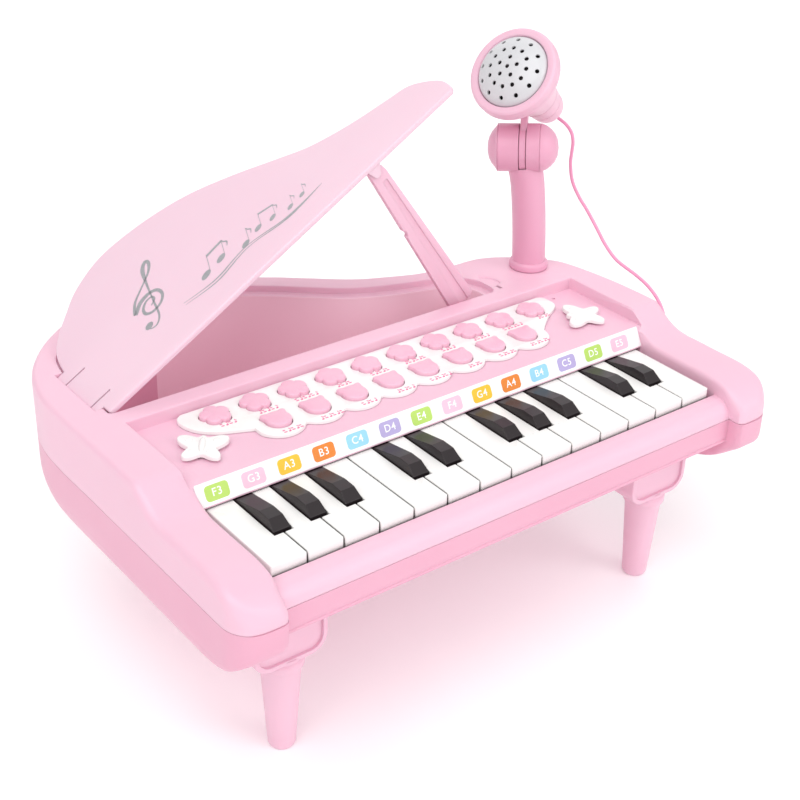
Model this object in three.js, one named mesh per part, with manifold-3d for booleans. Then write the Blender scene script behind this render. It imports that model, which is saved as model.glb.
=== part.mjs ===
// A toy grand piano: 24 sprung keys, 18 sound buttons and 2 butterfly buttons in a two-part casing
// on three legs, with a propped lid and a tilting microphone on a post.
// Millimetres, +Z up, +Y to the back. Every length below is measured from the middle of the
// keyboard (x), the front edge of the white keys (y) and the floor (z). The group at the end moves
// the instrument so that its origin is the middle of its footprint.
import * as THREE from 'three';
import { mergeVertices } from 'three/addons/utils/BufferGeometryUtils.js';
import Module from 'manifold-3d';

const wasm = await Module();
wasm.setup();

// ---- driving dimensions ---------------------------------------------------------------------
const FOOTPRINT_MIDDLE_Y = 121;   // middle of the casing's depth
const GAP = 0.3;                  // clearance between pieces that touch

const WALL = 3;                   // casing wall
const HALF_WIDTH = 187;
const FRONT_Y = -26;
const CORNER = 18;                // plan radius of the two front corners
const BOTTOM_Z = 80;
const PARTING_Z = 122.5;
const RIM_Z = 158.5;

const KEY_PITCH = 22;
const WHITE_KEYS = 14;
const WHITE_WIDTH = 21.2;
const WHITE_TOP_Z = 138.2;
const WHITE_THICK = 6;
const BLACK_PLACES = [1, 2, 3, 5, 6, 8, 9, 10, 12, 13];   // gaps between white keys, from the left
const BLACK_WIDTH = 10.4;
const BLACK_TOP_WIDTH = 8.4;
const BLACK_TOP_Z = 143.2;
const BLACK_BACK_Z = 139;           // top of a black key where it goes under the note strip
const KEY_HINGE_Y = 73.4;
const KEY_HINGE_Z = 134.6;
const KEY_BARREL = 2.3;           // radius of the round rear end of a key
const KEY_END_Y = KEY_HINGE_Y - 1;
const BAY_HALF = 158;             // key bay half width
const BAY_FRONT_Y = -1;
const STRIP = { lowY: 59, lowZ: 139.6, highY: 65, highZ: 150.6 };   // sloping note strip

const RECESS_HALF = 160.5;
const RECESS_BACK_Y = 128.8;
const RECESS_Z = 150.6;
const FLOOR_THICK = 2.4;

const PANEL_Z = RECESS_Z + GAP;
const PANEL_THICK = 2.2;
const BUTTON_PITCH = 25.35;
const UPPER_ROW = { count: 10, firstX: -114.1, y: 115.1 };
const LOWER_ROW = { count: 8, firstX: -88.7, y: 91.7 };
const BUTTON_TOP_Z = 156;
const BUTTON_HOLE = 11;
const BUTTON_FLANGE = 11.6;
const BUTTERFLY_Y = 90.5;
const BUTTERFLY_X = 137;

const LID_HINGE_X = -163;
const LID_HINGE_Z = 155.4;
const LID_ANGLE = THREE.MathUtils.degToRad(31.1);
const LID_THICK = 3.6;
const LID_LOW_Z = 155;            // underside of the closed lid
const LEDGE_Z = 154.5;
const LEDGE_WIDTH = 5;
const HINGE_Y = [149.2, 196.2];   // front and back of the lid's hinge edge
const HINGE_EDGE = 3.9;           // how far that edge reaches past the hinge
const HINGE_SLOTS = [156.1, 185.9];
const WELL_FRONT_Y = 141.4;
const WELL_FLOOR_Z = 87.6;
const TUB_WALL = 2.4;

const PROP_U = 203;               // prop pivot, along the lid from its hinge
const PROP_DROP = 5;              // prop pivot below the lid hinge plane
const PROP_TILT = THREE.MathUtils.degToRad(57.2);
const PROP_LENGTH = 124;
const PROP_THICK = 4;
const PROP_Y = 147;

const LEG_X = 134.6;
const LEG_FRONT_Y = 22.5;
const LEG_REAR = [-52, 214];
const LEG_SPIGOT = { radius: 8, frontHeight: 9, rearHeight: 3.4, cover: 1.4 };
const BRACKET = { halfWidth: 22.8, halfDepth: 11, lowZ: 61.5, corner: 11, rim: 3, recess: 1.4 };

const POST_BASE = new THREE.Vector3(150, 157.7, RIM_Z);
const KNUCKLE = new THREE.Vector3(143.2, 163.3, 239.6);
const KNUCKLE_AXIS = new THREE.Vector3(0.709, -0.703, 0.06).normalize();
const KNUCKLE_RADIUS = 15;
const KNUCKLE_HALF = 22.3;
const SLOT_HALF = 2.4;            // the microphone's tongue turns in this slot
const TONGUE_RADIUS = 14.4;
const MIC_FACE = new THREE.Vector3(130.5, 164.5, 290.5);
const MIC_AXIS = new THREE.Vector3(-0.77, -0.2, 0.605).normalize();
const MIC_LENGTH = 60;
const MIC_RING = 27.6;
const MIC_TAIL = 10.6;
const GRILLE_RADIUS = 22.8;
const GRILLE_DOME = 9;

const LEAD_RADIUS = 1.1;
const LEAD_SOCKET = new THREE.Vector3(186.6, 112, 108);
// The lead hangs from the microphone's tail, past the treble side of the rim, and turns up in a
// small loop into its socket.
const LEAD_ROUTE = [
  [177.0, 176.6, 254.0], [180.0, 177.4, 251.6], [183.0, 175.4, 248.2], [185.0, 169.4, 245.0],
  [185.5, 164.2, 240.8], [185.7, 162.3, 235.0], [185.6, 162.4, 229.0], [185.5, 162.6, 220.4],
  [185.8, 159.9, 209.3], [186.6, 153.3, 200.2], [187.4, 145.6, 193.2], [188.4, 137.0, 184.2],
  [189.5, 128.0, 174.4], [190.7, 117.6, 167.0], [192.6, 101.6, 162.2], [193.8, 90.4, 157.6],
  [194.8, 81.2, 150.2], [195.3, 75.2, 139.6], [195.4, 73.4, 127.6], [195.4, 75.4, 115.8],
  [195.6, 80.8, 106.0], [196.0, 88.6, 100.8], [196.6, 97.4, 100.6], [196.6, 105.0, 103.6],
  [194.0, 110.4, 106.8], [190.4, 112.0, 108.0], [186.9, 112.0, 108.0],
];

const PINK = new THREE.MeshStandardMaterial({ color: 0xf5c0d6, roughness: 0.42, metalness: 0 });
const BUTTON_PINK = new THREE.MeshStandardMaterial({ color: 0xf3b3cd, roughness: 0.35, metalness: 0 });
const WHITE = new THREE.MeshStandardMaterial({ color: 0xf7f6f4, roughness: 0.25, metalness: 0 });
const BLACK = new THREE.MeshStandardMaterial({ color: 0x241f21, roughness: 0.3, metalness: 0 });
const LEAD_PINK = new THREE.MeshStandardMaterial({ color: 0xeda6c4, roughness: 0.55, metalness: 0 });
const BOARD_GREEN = new THREE.MeshStandardMaterial({ color: 0x2f6b45, roughness: 0.6, metalness: 0 });
const STEEL = new THREE.MeshStandardMaterial({ color: 0x8c8f94, roughness: 0.4, metalness: 0.8 });

// ---- solids ---------------------------------------------------------------------------------
function solidOf(geometry) {
  const bare = geometry.index ? geometry : mergeVertices(geometry);
  bare.deleteAttribute('normal');
  bare.deleteAttribute('uv');
  const merged = mergeVertices(bare, 1e-4);
  return new wasm.Manifold(new wasm.Mesh({
    numProp: 3,
    vertProperties: new Float32Array(merged.attributes.position.array),
    triVerts: new Uint32Array(merged.index.array),
  }));
}

function geometryOf(solid) {
  const mesh = solid.getMesh();
  const geometry = new THREE.BufferGeometry();
  geometry.setAttribute('position', new THREE.BufferAttribute(mesh.vertProperties, 3));
  geometry.setIndex(new THREE.BufferAttribute(mesh.triVerts, 1));
  geometry.computeVertexNormals();
  return geometry;
}

function shapeOf(points) {
  return new THREE.Shape(points.map(([x, y]) => new THREE.Vector2(x, y)));
}

function extruded(shape, depth) {
  return new THREE.ExtrudeGeometry(shape, { depth, bevelEnabled: false, curveSegments: 4 });
}

// A plan outline raised from lowZ to highZ.
function prism(points, lowZ, highZ) {
  return solidOf(extruded(shapeOf(points), highZ - lowZ).translate(0, 0, lowZ));
}

// A (y, z) outline running along x.
function alongX(points, lowX, highX) {
  const turn = new THREE.Matrix4().makeBasis(
    new THREE.Vector3(0, 1, 0), new THREE.Vector3(0, 0, 1), new THREE.Vector3(1, 0, 0));
  return solidOf(extruded(shapeOf(points), highX - lowX).applyMatrix4(turn).translate(lowX, 0, 0));
}

// An (x, z) outline running along y.
function alongY(points, lowY, highY) {
  const turn = new THREE.Matrix4().makeBasis(
    new THREE.Vector3(1, 0, 0), new THREE.Vector3(0, 0, 1), new THREE.Vector3(0, -1, 0));
  return solidOf(extruded(shapeOf(points), highY - lowY).applyMatrix4(turn).translate(0, highY, 0));
}

function box(lowX, highX, lowY, highY, lowZ, highZ) {
  const geometry = new THREE.BoxGeometry(highX - lowX, highY - lowY, highZ - lowZ);
  return solidOf(geometry.translate((lowX + highX) / 2, (lowY + highY) / 2, (lowZ + highZ) / 2));
}

// A matrix that takes +Z to an axis and the origin to a point.
function standOn(point, axis) {
  const turn = new THREE.Quaternion().setFromUnitVectors(new THREE.Vector3(0, 0, 1), axis);
  return new THREE.Matrix4().compose(point, turn, new THREE.Vector3(1, 1, 1));
}

// A turned solid: its (radius, height) profile starts and ends on the axis.
function turned(profile, segments, place = new THREE.Matrix4()) {
  const points = profile.map(([radius, height]) => new THREE.Vector2(radius, height));
  const lathe = new THREE.LatheGeometry(points, segments);
  return solidOf(lathe.rotateX(Math.PI / 2).applyMatrix4(place));
}

function disc(x, y, lowZ, highZ, radius, segments = 12) {
  const place = new THREE.Matrix4().makeTranslation(x, y, lowZ);
  return turned([[0, 0], [radius, 0], [radius, highZ - lowZ], [0, highZ - lowZ]], segments, place);
}

function rod(from, to, radius, segments = 12) {
  const axis = to.clone().sub(from);
  const length = axis.length();
  return turned([[0, 0], [radius, 0], [radius, length], [0, length]], segments,
    standOn(from, axis.normalize()));
}

// ---- outlines -------------------------------------------------------------------------------
// Moves a closed anticlockwise outline outwards by a distance, or inwards if it is negative.
function offset(points, distance) {
  return points.map((point, i) => {
    const before = points[(i + points.length - 1) % points.length];
    const after = points[(i + 1) % points.length];
    const inward = new THREE.Vector2(point[0] - before[0], point[1] - before[1]).normalize();
    const outward = new THREE.Vector2(after[0] - point[0], after[1] - point[1]).normalize();
    const along = inward.clone().add(outward).normalize();
    const stretch = 1 / Math.max(0.5, along.dot(outward));
    return [point[0] + along.y * distance * stretch, point[1] - along.x * distance * stretch];
  });
}

function splinePoints(points, divisions) {
  const curve = new THREE.SplineCurve(points.map(([x, y]) => new THREE.Vector2(x, y)));
  return curve.getSpacedPoints(divisions).map((point) => [point.x, point.y]);
}

function arcPoints(centreX, centreY, radius, fromAngle, toAngle, divisions) {
  return Array.from({ length: divisions + 1 }, (_, i) => {
    const angle = fromAngle + (toAngle - fromAngle) * i / divisions;
    return [centreX + radius * Math.cos(angle), centreY + radius * Math.sin(angle)];
  });
}

// The casing in plan, anticlockwise from the left front corner: straight front and left side, and
// a back that swells behind the bass end and draws in to the treble end.
const CASING_BACK = [
  [184, 76], [182, 112], [176, 146.5], [168, 160.5], [151, 176.5], [132, 186.5], [108, 188], [86, 190],
  [64, 198], [44, 207.5], [21, 225], [0, 241], [-28, 256], [-62, 266.5], [-95, 268], [-126, 258.5],
  [-151, 241.5], [-169, 221.5], [-180, 202], [-185.5, 181], [-187, 158],
];
const casingOutline = [
  ...arcPoints(-HALF_WIDTH + CORNER, FRONT_Y + CORNER, CORNER, Math.PI, 1.5 * Math.PI, 4),
  ...arcPoints(HALF_WIDTH - CORNER, FRONT_Y + CORNER, CORNER, 1.5 * Math.PI, 2 * Math.PI, 4),
  [HALF_WIDTH, 44],
  ...splinePoints(CASING_BACK, 27),
];

// The lid in plan when it is shut, anticlockwise from its front left corner.
const LID_EDGE = [
  [107, 144], [107.5, 157], [97, 172], [82, 177], [64, 182], [48.5, 187.5], [31, 196], [16, 207.5],
  [-8.5, 227], [-31.5, 242], [-54, 251], [-78, 256], [-99, 256], [-120.5, 248], [-135, 237],
  [-148.5, 225], [-157, 213], [-161.4, 196],
];
const lidOutline = [[LID_HINGE_X + 1.6, 142.2], [104.6, 142.2], ...splinePoints(LID_EDGE, 22)];

// Five round petals, and a round head with two ears, as distances from the button's middle.
function petals(angle) {
  return 8.7 + 0.7 * Math.cos(5 * (angle - Math.PI / 2));
}

function earedHead(angle) {
  const ear = (middle) => 2.3 * Math.exp(-(((angle - middle) / 0.26) ** 2));
  return 8.4 + ear(Math.PI / 2 - 0.9) + ear(Math.PI / 2 + 0.9);
}

function polarOutline(radiusAt, count, grow = 0) {
  return Array.from({ length: count }, (_, i) => {
    const angle = i / count * 2 * Math.PI;
    return [(radiusAt(angle) + grow) * Math.cos(angle), (radiusAt(angle) + grow) * Math.sin(angle)];
  });
}

// Two broad front wings and two small rear wings.
function wings(angle) {
  const lobe = (place, width, size) => {
    const away = Math.atan2(Math.sin(angle - place), Math.cos(angle - place));
    return size * Math.exp(-((away / width) ** 2));
  };
  return 5 + lobe(0.62, 0.42, 9.5) + lobe(Math.PI - 0.62, 0.42, 9.5)
    + lobe(-0.75, 0.36, 6) + lobe(Math.PI + 0.75, 0.36, 6);
}

function moved(points, x, y, turn = 0) {
  return points.map(([px, py]) => [
    x + px * Math.cos(turn) - py * Math.sin(turn),
    y + px * Math.sin(turn) + py * Math.cos(turn),
  ]);
}

function scallopedPanel() {
  const firstX = LOWER_ROW.firstX;
  const lastX = firstX + (LOWER_ROW.count - 1) * BUTTON_PITCH;
  const points = [[-131, 127.6], [-133, 120], [-131, 111], [-124, 103], [-110, 95], [-105, 92]];
  for (let i = 0; i < LOWER_ROW.count; i += 1) {
    const centreX = firstX + i * BUTTON_PITCH;
    points.push(...arcPoints(centreX, 92, 15.2, 1.19 * Math.PI, 1.81 * Math.PI, 4));
  }
  points.push([lastX + 15, 92], [lastX + 22, 98], [lastX + 31, 105], [133, 113], [134, 120], [131, 127.6]);
  return points;
}

// ---- scene graph ----------------------------------------------------------------------------
const instrument = new THREE.Group();
instrument.position.y = -FOOTPRINT_MIDDLE_Y;

function place(name, solid, material, parent = instrument) {
  const mesh = new THREE.Mesh(geometryOf(solid), material);
  mesh.name = name;
  parent.add(mesh);
  return mesh;
}

// ---- casing ---------------------------------------------------------------------------------
// What is cut away above and in front of the cheeks, from the side.
const CHEEK_CUT = [
  [74, 240], [74, 159], [66, 153.5], [57, 147.6], [46, 145], [24, 145], [4, 145], [-9, 142.6], [-19, 136.5],
  [-24.6, 129], [-26.4, 121], [-26.4, 114], [-25.4, 109], [-22.4, 104.6], [-16, 99.4], [-8, 93.8],
  [0, 89.6], [10, 86], [22, 83], [36, 80.6], [46, 79.5], [46, 40], [-60, 40], [-60, 240],
];
// What is cut away in front of and below the front rail, from the side.
const RAIL_LOW_EDGE = [-13.6, 106.6];
const RAIL_FOOT = [24, 79.5];
const RAIL_CUT = [
  [BAY_FRONT_Y, 240], [BAY_FRONT_Y, 133], [-7, 132.6], [-12, 129.6], [-15, 124], [-15, 108.6],
  RAIL_LOW_EDGE, RAIL_FOOT, [RAIL_FOOT[0], 40], [-70, 40], [-70, 240],
];

function shifted(points, a, b) {
  return points.map(([p, q]) => [p + a, q + b]);
}

function cutFront(solid, inset) {
  const cheeks = alongX(shifted(CHEEK_CUT, inset, -inset), -HALF_WIDTH - 5, HALF_WIDTH + 5);
  const rail = alongX(shifted(RAIL_CUT, inset, -inset), -BAY_HALF - inset, BAY_HALF + inset);
  return solid.subtract(cheeks).subtract(rail);
}

// The same two cuts for the underside, where the casing's inner face is above its outer one.
function cutFrontBelow(solid, inset) {
  const cheeks = alongX(shifted(CHEEK_CUT, inset, inset), -HALF_WIDTH - 5, HALF_WIDTH + 5);
  const rail = alongX(shifted(RAIL_CUT, inset, inset), -BAY_HALF - inset, BAY_HALF + inset);
  return solid.subtract(cheeks).subtract(rail);
}

// The outer form of the lower casing is vertical at the parting line and rolls under to the bottom.
const UNDERCUT = [[BOTTOM_Z, -13], [82.2, -8.6], [87, -4.6], [95, -1.4], [106, 0], [PARTING_Z - GAP / 2, 0]];

function stacked(outline, levels, inset = 0) {
  const rings = levels.map(([z, out]) => offset(outline, out - inset).map(([x, y]) => [x, y, z]));
  const count = outline.length;
  const positions = rings.flat(2);
  const index = [];
  for (let level = 0; level < rings.length - 1; level += 1) {
    for (let i = 0; i < count; i += 1) {
      const a = level * count + i;
      const b = level * count + (i + 1) % count;
      index.push(a, b, b + count, a, b + count, a + count);
    }
  }
  const flat = (ring) => ring.map(([x, y]) => new THREE.Vector2(x, y));
  const top = (rings.length - 1) * count;
  THREE.ShapeUtils.triangulateShape(flat(rings[0]), []).forEach(([a, b, c]) => index.push(a, c, b));
  THREE.ShapeUtils.triangulateShape(flat(rings.at(-1)), [])
    .forEach(([a, b, c]) => index.push(top + a, top + b, top + c));
  const geometry = new THREE.BufferGeometry();
  geometry.setAttribute('position', new THREE.BufferAttribute(new Float32Array(positions), 3));
  geometry.setIndex(index);
  return solidOf(geometry);
}

const buttonPlaces = [];
for (let i = 0; i < UPPER_ROW.count; i += 1) {
  buttonPlaces.push({ x: UPPER_ROW.firstX + i * BUTTON_PITCH, y: UPPER_ROW.y, outline: petals });
}
for (let i = 0; i < LOWER_ROW.count; i += 1) {
  buttonPlaces.push({ x: LOWER_ROW.firstX + i * BUTTON_PITCH, y: LOWER_ROW.y, outline: earedHead });
}
const butterflies = [
  { name: 'left_butterfly_button', x: -BUTTERFLY_X, turn: 0.35 },
  { name: 'right_butterfly_button', x: BUTTERFLY_X, turn: -0.35 },
];

function upperCasing() {
  const outline = casingOutline;
  const outer = cutFront(stacked(outline, [
    [PARTING_Z + GAP / 2, 0], [RIM_Z - 2.4, 0], [RIM_Z - 0.7, -0.7], [RIM_Z, -2.4],
  ]), 0);
  const wellBack = offset(lidOutline, -LEDGE_WIDTH).filter(([, y]) => y > 150);
  const wellOutline = [
    [wellBack.at(-1)[0], WELL_FRONT_Y], [wellBack[0][0] + 0.5, WELL_FRONT_Y], ...wellBack,
  ];
  const tubOutline = offset(wellOutline, TUB_WALL);
  const tub = prism(tubOutline, WELL_FLOOR_Z - TUB_WALL, LEDGE_Z + 0.5);
  const pan = box(-RECESS_HALF - WALL, RECESS_HALF + WALL, STRIP.lowY - 4, WELL_FRONT_Y,
    RECESS_Z - FLOOR_THICK, RIM_Z - 1);
  const stripWall = alongX([
    [STRIP.lowY, STRIP.lowZ], [STRIP.lowY + 2.4, STRIP.lowZ], [STRIP.highY + 2.4, RECESS_Z - FLOOR_THICK],
    [STRIP.highY + 2.4, RECESS_Z], [STRIP.highY, RECESS_Z],
  ], -BAY_HALF - 1, BAY_HALF + 1);
  const keyRail = box(-BAY_HALF, BAY_HALF, KEY_HINGE_Y, KEY_HINGE_Y + 6.4, 128, RECESS_Z - 1)
    .subtract(rod(new THREE.Vector3(-BAY_HALF - 1, KEY_HINGE_Y, KEY_HINGE_Z),
      new THREE.Vector3(BAY_HALF + 1, KEY_HINGE_Y, KEY_HINGE_Z), KEY_BARREL + 0.5));
  const bayWalls = [-1, 1].map((side) => box(
    Math.min(side * BAY_HALF, side * (BAY_HALF + WALL)), Math.max(side * BAY_HALF, side * (BAY_HALF + WALL)),
    -12, KEY_HINGE_Y + 6.4, PARTING_Z, RIM_Z));
  const bayFront = box(-BAY_HALF - 1, BAY_HALF + 1, BAY_FRONT_Y - 2.4, BAY_FRONT_Y, PARTING_Z, 150);
  const ledgeBlock = prism(offset(lidOutline, 4), LEDGE_Z - 2.4, RIM_Z);
  const postBoss = disc(POST_BASE.x, POST_BASE.y, RIM_Z - 14, RIM_Z - 1, 11);

  let cavity = stacked(outline, [[PARTING_Z - 1, -WALL], [RIM_Z - WALL, -WALL]]);
  cavity = cutFront(cavity, WALL);
  for (const block of [tub, pan, stripWall, keyRail, bayFront, ledgeBlock, postBoss, ...bayWalls]) {
    cavity = cavity.subtract(block);
  }
  let casing = outer.subtract(cavity).add(tub);

  // The key bay and the control recess are open upwards; the bay is open downwards too.
  casing = casing.subtract(alongX([
    [BAY_FRONT_Y, PARTING_Z - 5], [STRIP.lowY, PARTING_Z - 5], [STRIP.lowY, STRIP.lowZ],
    [STRIP.highY, STRIP.highZ], [STRIP.highY, 200], [BAY_FRONT_Y, 200],
  ], -BAY_HALF, BAY_HALF));
  casing = casing.subtract(box(-RECESS_HALF, RECESS_HALF, STRIP.highY - 1, RECESS_BACK_Y, RECESS_Z, 200));
  casing = casing.subtract(prism(wellOutline, WELL_FLOOR_Z, 200));
  const rebate = prism(offset(lidOutline, 1.2), LEDGE_Z, 200);
  casing = casing.subtract(rebate).subtract(rebate.translate([-1.4, 0, 0]));

  // Holes for the buttons, the lid's hinge, the microphone post and its lead.
  for (const { x, y } of buttonPlaces) {
    casing = casing.subtract(disc(x, y, 140, 160, BUTTON_HOLE, 10));
  }
  for (const { x } of butterflies) {
    casing = casing.subtract(disc(x, BUTTERFLY_Y, 140, 160, 6));
  }
  casing = casing.subtract(hingeNotch());
  return casing.subtract(disc(POST_BASE.x, POST_BASE.y, RIM_Z - 10, 200, 7.6));
}

// A pocket in the rim for the lid's hinge edge, with a bearing hole at each end for its pins.
function hingeNotch() {
  const [front, back] = HINGE_Y;
  const pocket = box(LID_HINGE_X - HINGE_EDGE - 1.7, LID_HINGE_X + 5, front - 0.8, back + 0.8, 151.5, 200);
  const bearing = rod(new THREE.Vector3(LID_HINGE_X, front - 4, LID_HINGE_Z),
    new THREE.Vector3(LID_HINGE_X, back + 4, LID_HINGE_Z), 1.7);
  return pocket.add(bearing);
}

const BATTERY_BOX = { halfX: 34, frontY: 84, backY: 132, topZ: 100 };
const SPEAKER = { x: 98, y: 106, radius: 25 };

// The front legs stand where the underside slopes, so their spigots reach further in.
function spigotHeight(y) {
  return y === LEG_FRONT_Y ? LEG_SPIGOT.frontHeight : LEG_SPIGOT.rearHeight;
}

function lowerCasing() {
  let casing = cutFront(stacked(casingOutline, UNDERCUT), 0);
  let hollow = stacked(casingOutline, UNDERCUT, WALL)
    .intersect(box(-200, 200, -60, 300, BOTTOM_Z + WALL, PARTING_Z - 1))
    .add(stacked(casingOutline, [[PARTING_Z - 1.2, -WALL], [PARTING_Z + 1, -WALL]]));
  hollow = cutFrontBelow(hollow, WALL);
  const { halfX, frontY, backY, topZ } = BATTERY_BOX;
  hollow = hollow.subtract(box(-halfX - 2, halfX + 2, frontY - 2, backY + 2, BOTTOM_Z, topZ + 2));
  for (const [x, y] of legPlaces) {
    const socketTop = BOTTOM_Z + spigotHeight(y) + LEG_SPIGOT.cover;
    hollow = hollow.subtract(disc(x, y, BOTTOM_Z, socketTop, LEG_SPIGOT.radius + 2.6));
  }
  casing = casing.subtract(hollow);

  casing = casing.subtract(box(-halfX, halfX, frontY, backY, BOTTOM_Z - 1, topZ));
  for (const [x, y] of legPlaces) {
    casing = casing.subtract(disc(x, y, BOTTOM_Z - 1, BOTTOM_Z + spigotHeight(y) + GAP,
      LEG_SPIGOT.radius + GAP));
  }
  for (const ring of [[0, 1], [12, 6]]) {
    for (let i = 0; i < ring[1]; i += 1) {
      const angle = i / ring[1] * 2 * Math.PI;
      casing = casing.subtract(disc(SPEAKER.x + ring[0] * Math.cos(angle),
        SPEAKER.y + ring[0] * Math.sin(angle), BOTTOM_Z - 1, BOTTOM_Z + 5, 3, 6));
    }
  }
  return casing.add(leadBoss()).subtract(leadHole());
}

// A round boss on the treble side, and the hole in it where the microphone's lead goes in.
function leadBoss() {
  return rod(LEAD_SOCKET.clone().setX(180), LEAD_SOCKET, 4.5, 16);
}

function leadHole() {
  return rod(LEAD_SOCKET.clone().setX(170), LEAD_SOCKET.clone().setX(184), LEAD_RADIUS + 0.4, 8);
}

const legPlaces = [[-LEG_X, LEG_FRONT_Y], [LEG_X, LEG_FRONT_Y], LEG_REAR];
place('upper_casing', upperCasing(), PINK);
place('lower_casing', lowerCasing(), PINK);

place('battery_cover', box(-BATTERY_BOX.halfX + GAP, BATTERY_BOX.halfX - GAP,
  BATTERY_BOX.frontY + GAP, BATTERY_BOX.backY - GAP, BOTTOM_Z + 0.2, BOTTOM_Z + 2.4), PINK);

// ---- legs -----------------------------------------------------------------------------------
// The front of a bracket: upright sides and a flat bottom with round corners, shrunk by an inset.
function bracketFront(x, inset, topZ) {
  const { halfWidth, lowZ, corner } = BRACKET;
  const centreX = halfWidth - corner;
  const round = (side, from, to) => arcPoints(x + side * centreX, lowZ + corner, corner - inset, from, to, 5);
  return [
    [x - halfWidth + inset, topZ], ...round(-1, Math.PI, 1.5 * Math.PI),
    ...round(1, 1.5 * Math.PI, 2 * Math.PI), [x + halfWidth - inset, topZ],
  ];
}

// A tapering foot with a collar, under a bracket that meets the casing's underside.
function leg(x, y) {
  const cone = turned([
    [0, 0], [6.6, 0], [7.7, 1.4], [11.3, 56.4], [12.8, 57.4], [12.8, 60.6], [11.6, 62], [0, 62],
  ], 14, new THREE.Matrix4().makeTranslation(x, y, 0));
  const { halfDepth, rim, recess } = BRACKET;
  const face = bracketFront(x, rim, 140);
  const underside = alongX([
    [-60, 40], [-60, 140], shifted([RAIL_LOW_EDGE], 0, -0.5)[0], shifted([RAIL_FOOT], 0, -0.5)[0],
    [RAIL_FOOT[0] + 0.1, BOTTOM_Z - GAP], [300, BOTTOM_Z - GAP], [300, 40],
  ], -HALF_WIDTH, HALF_WIDTH);
  const bracket = alongY(bracketFront(x, 0, 130), y - halfDepth, y + halfDepth)
    .subtract(alongY(face, y - halfDepth - 1, y - halfDepth + recess))
    .subtract(alongY(face, y + halfDepth - recess, y + halfDepth + 1))
    .intersect(underside);
  const spigotTop = BOTTOM_Z + spigotHeight(y) - GAP;
  return cone.add(bracket).add(disc(x, y, BRACKET.lowZ + 2, spigotTop, LEG_SPIGOT.radius));
}

['front_left_leg', 'front_right_leg', 'rear_leg'].forEach((name, i) => {
  place(name, leg(...legPlaces[i]), PINK);
});

// ---- keyboard -------------------------------------------------------------------------------
// Every key turns on a round bead along its back end, in the key rail's groove.
function keyBarrel(x, width) {
  return rod(new THREE.Vector3(x - width / 2, KEY_HINGE_Y, KEY_HINGE_Z),
    new THREE.Vector3(x + width / 2, KEY_HINGE_Y, KEY_HINGE_Z), KEY_BARREL, 10);
}

function whiteKey(index) {
  const x = (index - (WHITE_KEYS - 1) / 2) * KEY_PITCH;
  const half = WHITE_WIDTH / 2;
  const notch = BLACK_WIDTH / 2 + 0.5 - (KEY_PITCH - WHITE_WIDTH) / 2;
  const left = BLACK_PLACES.includes(index) ? notch : 0;
  const right = BLACK_PLACES.includes(index + 1) ? notch : 0;
  const notchY = 21;
  const points = [[x - half, 0], [x + half, 0]];
  if (right) {
    points.push([x + half, notchY], [x + half - right, notchY]);
  }
  points.push([x + half - right, KEY_END_Y], [x - half + left, KEY_END_Y]);
  if (left) {
    points.push([x - half + left, notchY], [x - half, notchY]);
  }
  const plate = prism(points, WHITE_TOP_Z - WHITE_THICK, WHITE_TOP_Z);
  const lip = box(x - half, x + half, 0, 2, 128.4, WHITE_TOP_Z - 1);
  const barrelWidth = WHITE_WIDTH - left - right;
  return plate.add(lip).add(keyBarrel(x + (left - right) / 2, barrelWidth));
}

function blackKey(gap) {
  const x = (gap - WHITE_KEYS / 2) * KEY_PITCH;
  const low = BLACK_WIDTH / 2;
  const high = BLACK_TOP_WIDTH / 2;
  const stemZ = WHITE_TOP_Z - WHITE_THICK;
  const side = alongX([
    [23, stemZ], [KEY_END_Y, stemZ], [KEY_END_Y, WHITE_TOP_Z], [57.6, WHITE_TOP_Z], [57.6, BLACK_BACK_Z],
    [37, BLACK_TOP_Z], [28.4, BLACK_TOP_Z - 0.3], [23, WHITE_TOP_Z + 0.2],
  ], x - low, x + low);
  const section = alongY([
    [x - low, stemZ - 1], [x + low, stemZ - 1], [x + low, WHITE_TOP_Z], [x + high, BLACK_TOP_Z + 0.1],
    [x - high, BLACK_TOP_Z + 0.1], [x - low, WHITE_TOP_Z],
  ], 20, KEY_HINGE_Y + 1);
  return side.intersect(section).add(keyBarrel(x, BLACK_WIDTH - 0.2));
}

for (let i = 0; i < WHITE_KEYS; i += 1) {
  place(`white_key_${i + 1}`, whiteKey(i), WHITE);
}
BLACK_PLACES.forEach((gap, i) => place(`black_key_${i + 1}`, blackKey(gap), BLACK));

// ---- buttons --------------------------------------------------------------------------------
function soundButton({ x, y, outline }) {
  const flangeTop = RECESS_Z - FLOOR_THICK - GAP;
  const cap = prism(moved(polarOutline(outline, 24), x, y), flangeTop - 1, BUTTON_TOP_Z);
  return cap.add(disc(x, y, flangeTop - 4.4, flangeTop, BUTTON_FLANGE, 10));
}

function butterflyButton({ x, turn }) {
  const cap = prism(moved(polarOutline(wings, 32), x, BUTTERFLY_Y, turn), RECESS_Z + 1.6, RECESS_Z + 4.2);
  const shank = disc(x, BUTTERFLY_Y, 144, RECESS_Z + 2, 5, 12);
  const flange = disc(x, BUTTERFLY_Y, 145.4, RECESS_Z - FLOOR_THICK - GAP, 8, 12);
  return cap.add(shank).add(flange);
}

buttonPlaces.forEach((button, i) => place(`sound_button_${i + 1}`, soundButton(button), BUTTON_PINK));
butterflies.forEach((butterfly) => place(butterfly.name, butterflyButton(butterfly), WHITE));

let panel = prism(scallopedPanel(), PANEL_Z, PANEL_Z + PANEL_THICK);
for (const { x, y } of buttonPlaces) {
  panel = panel.subtract(disc(x, y, PANEL_Z - 1, PANEL_Z + 3, BUTTON_HOLE, 10));
}
place('button_panel', panel, WHITE);
place('circuit_board', box(-152, 152, 82, 132, 139, 140.6), BOARD_GREEN);

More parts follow.
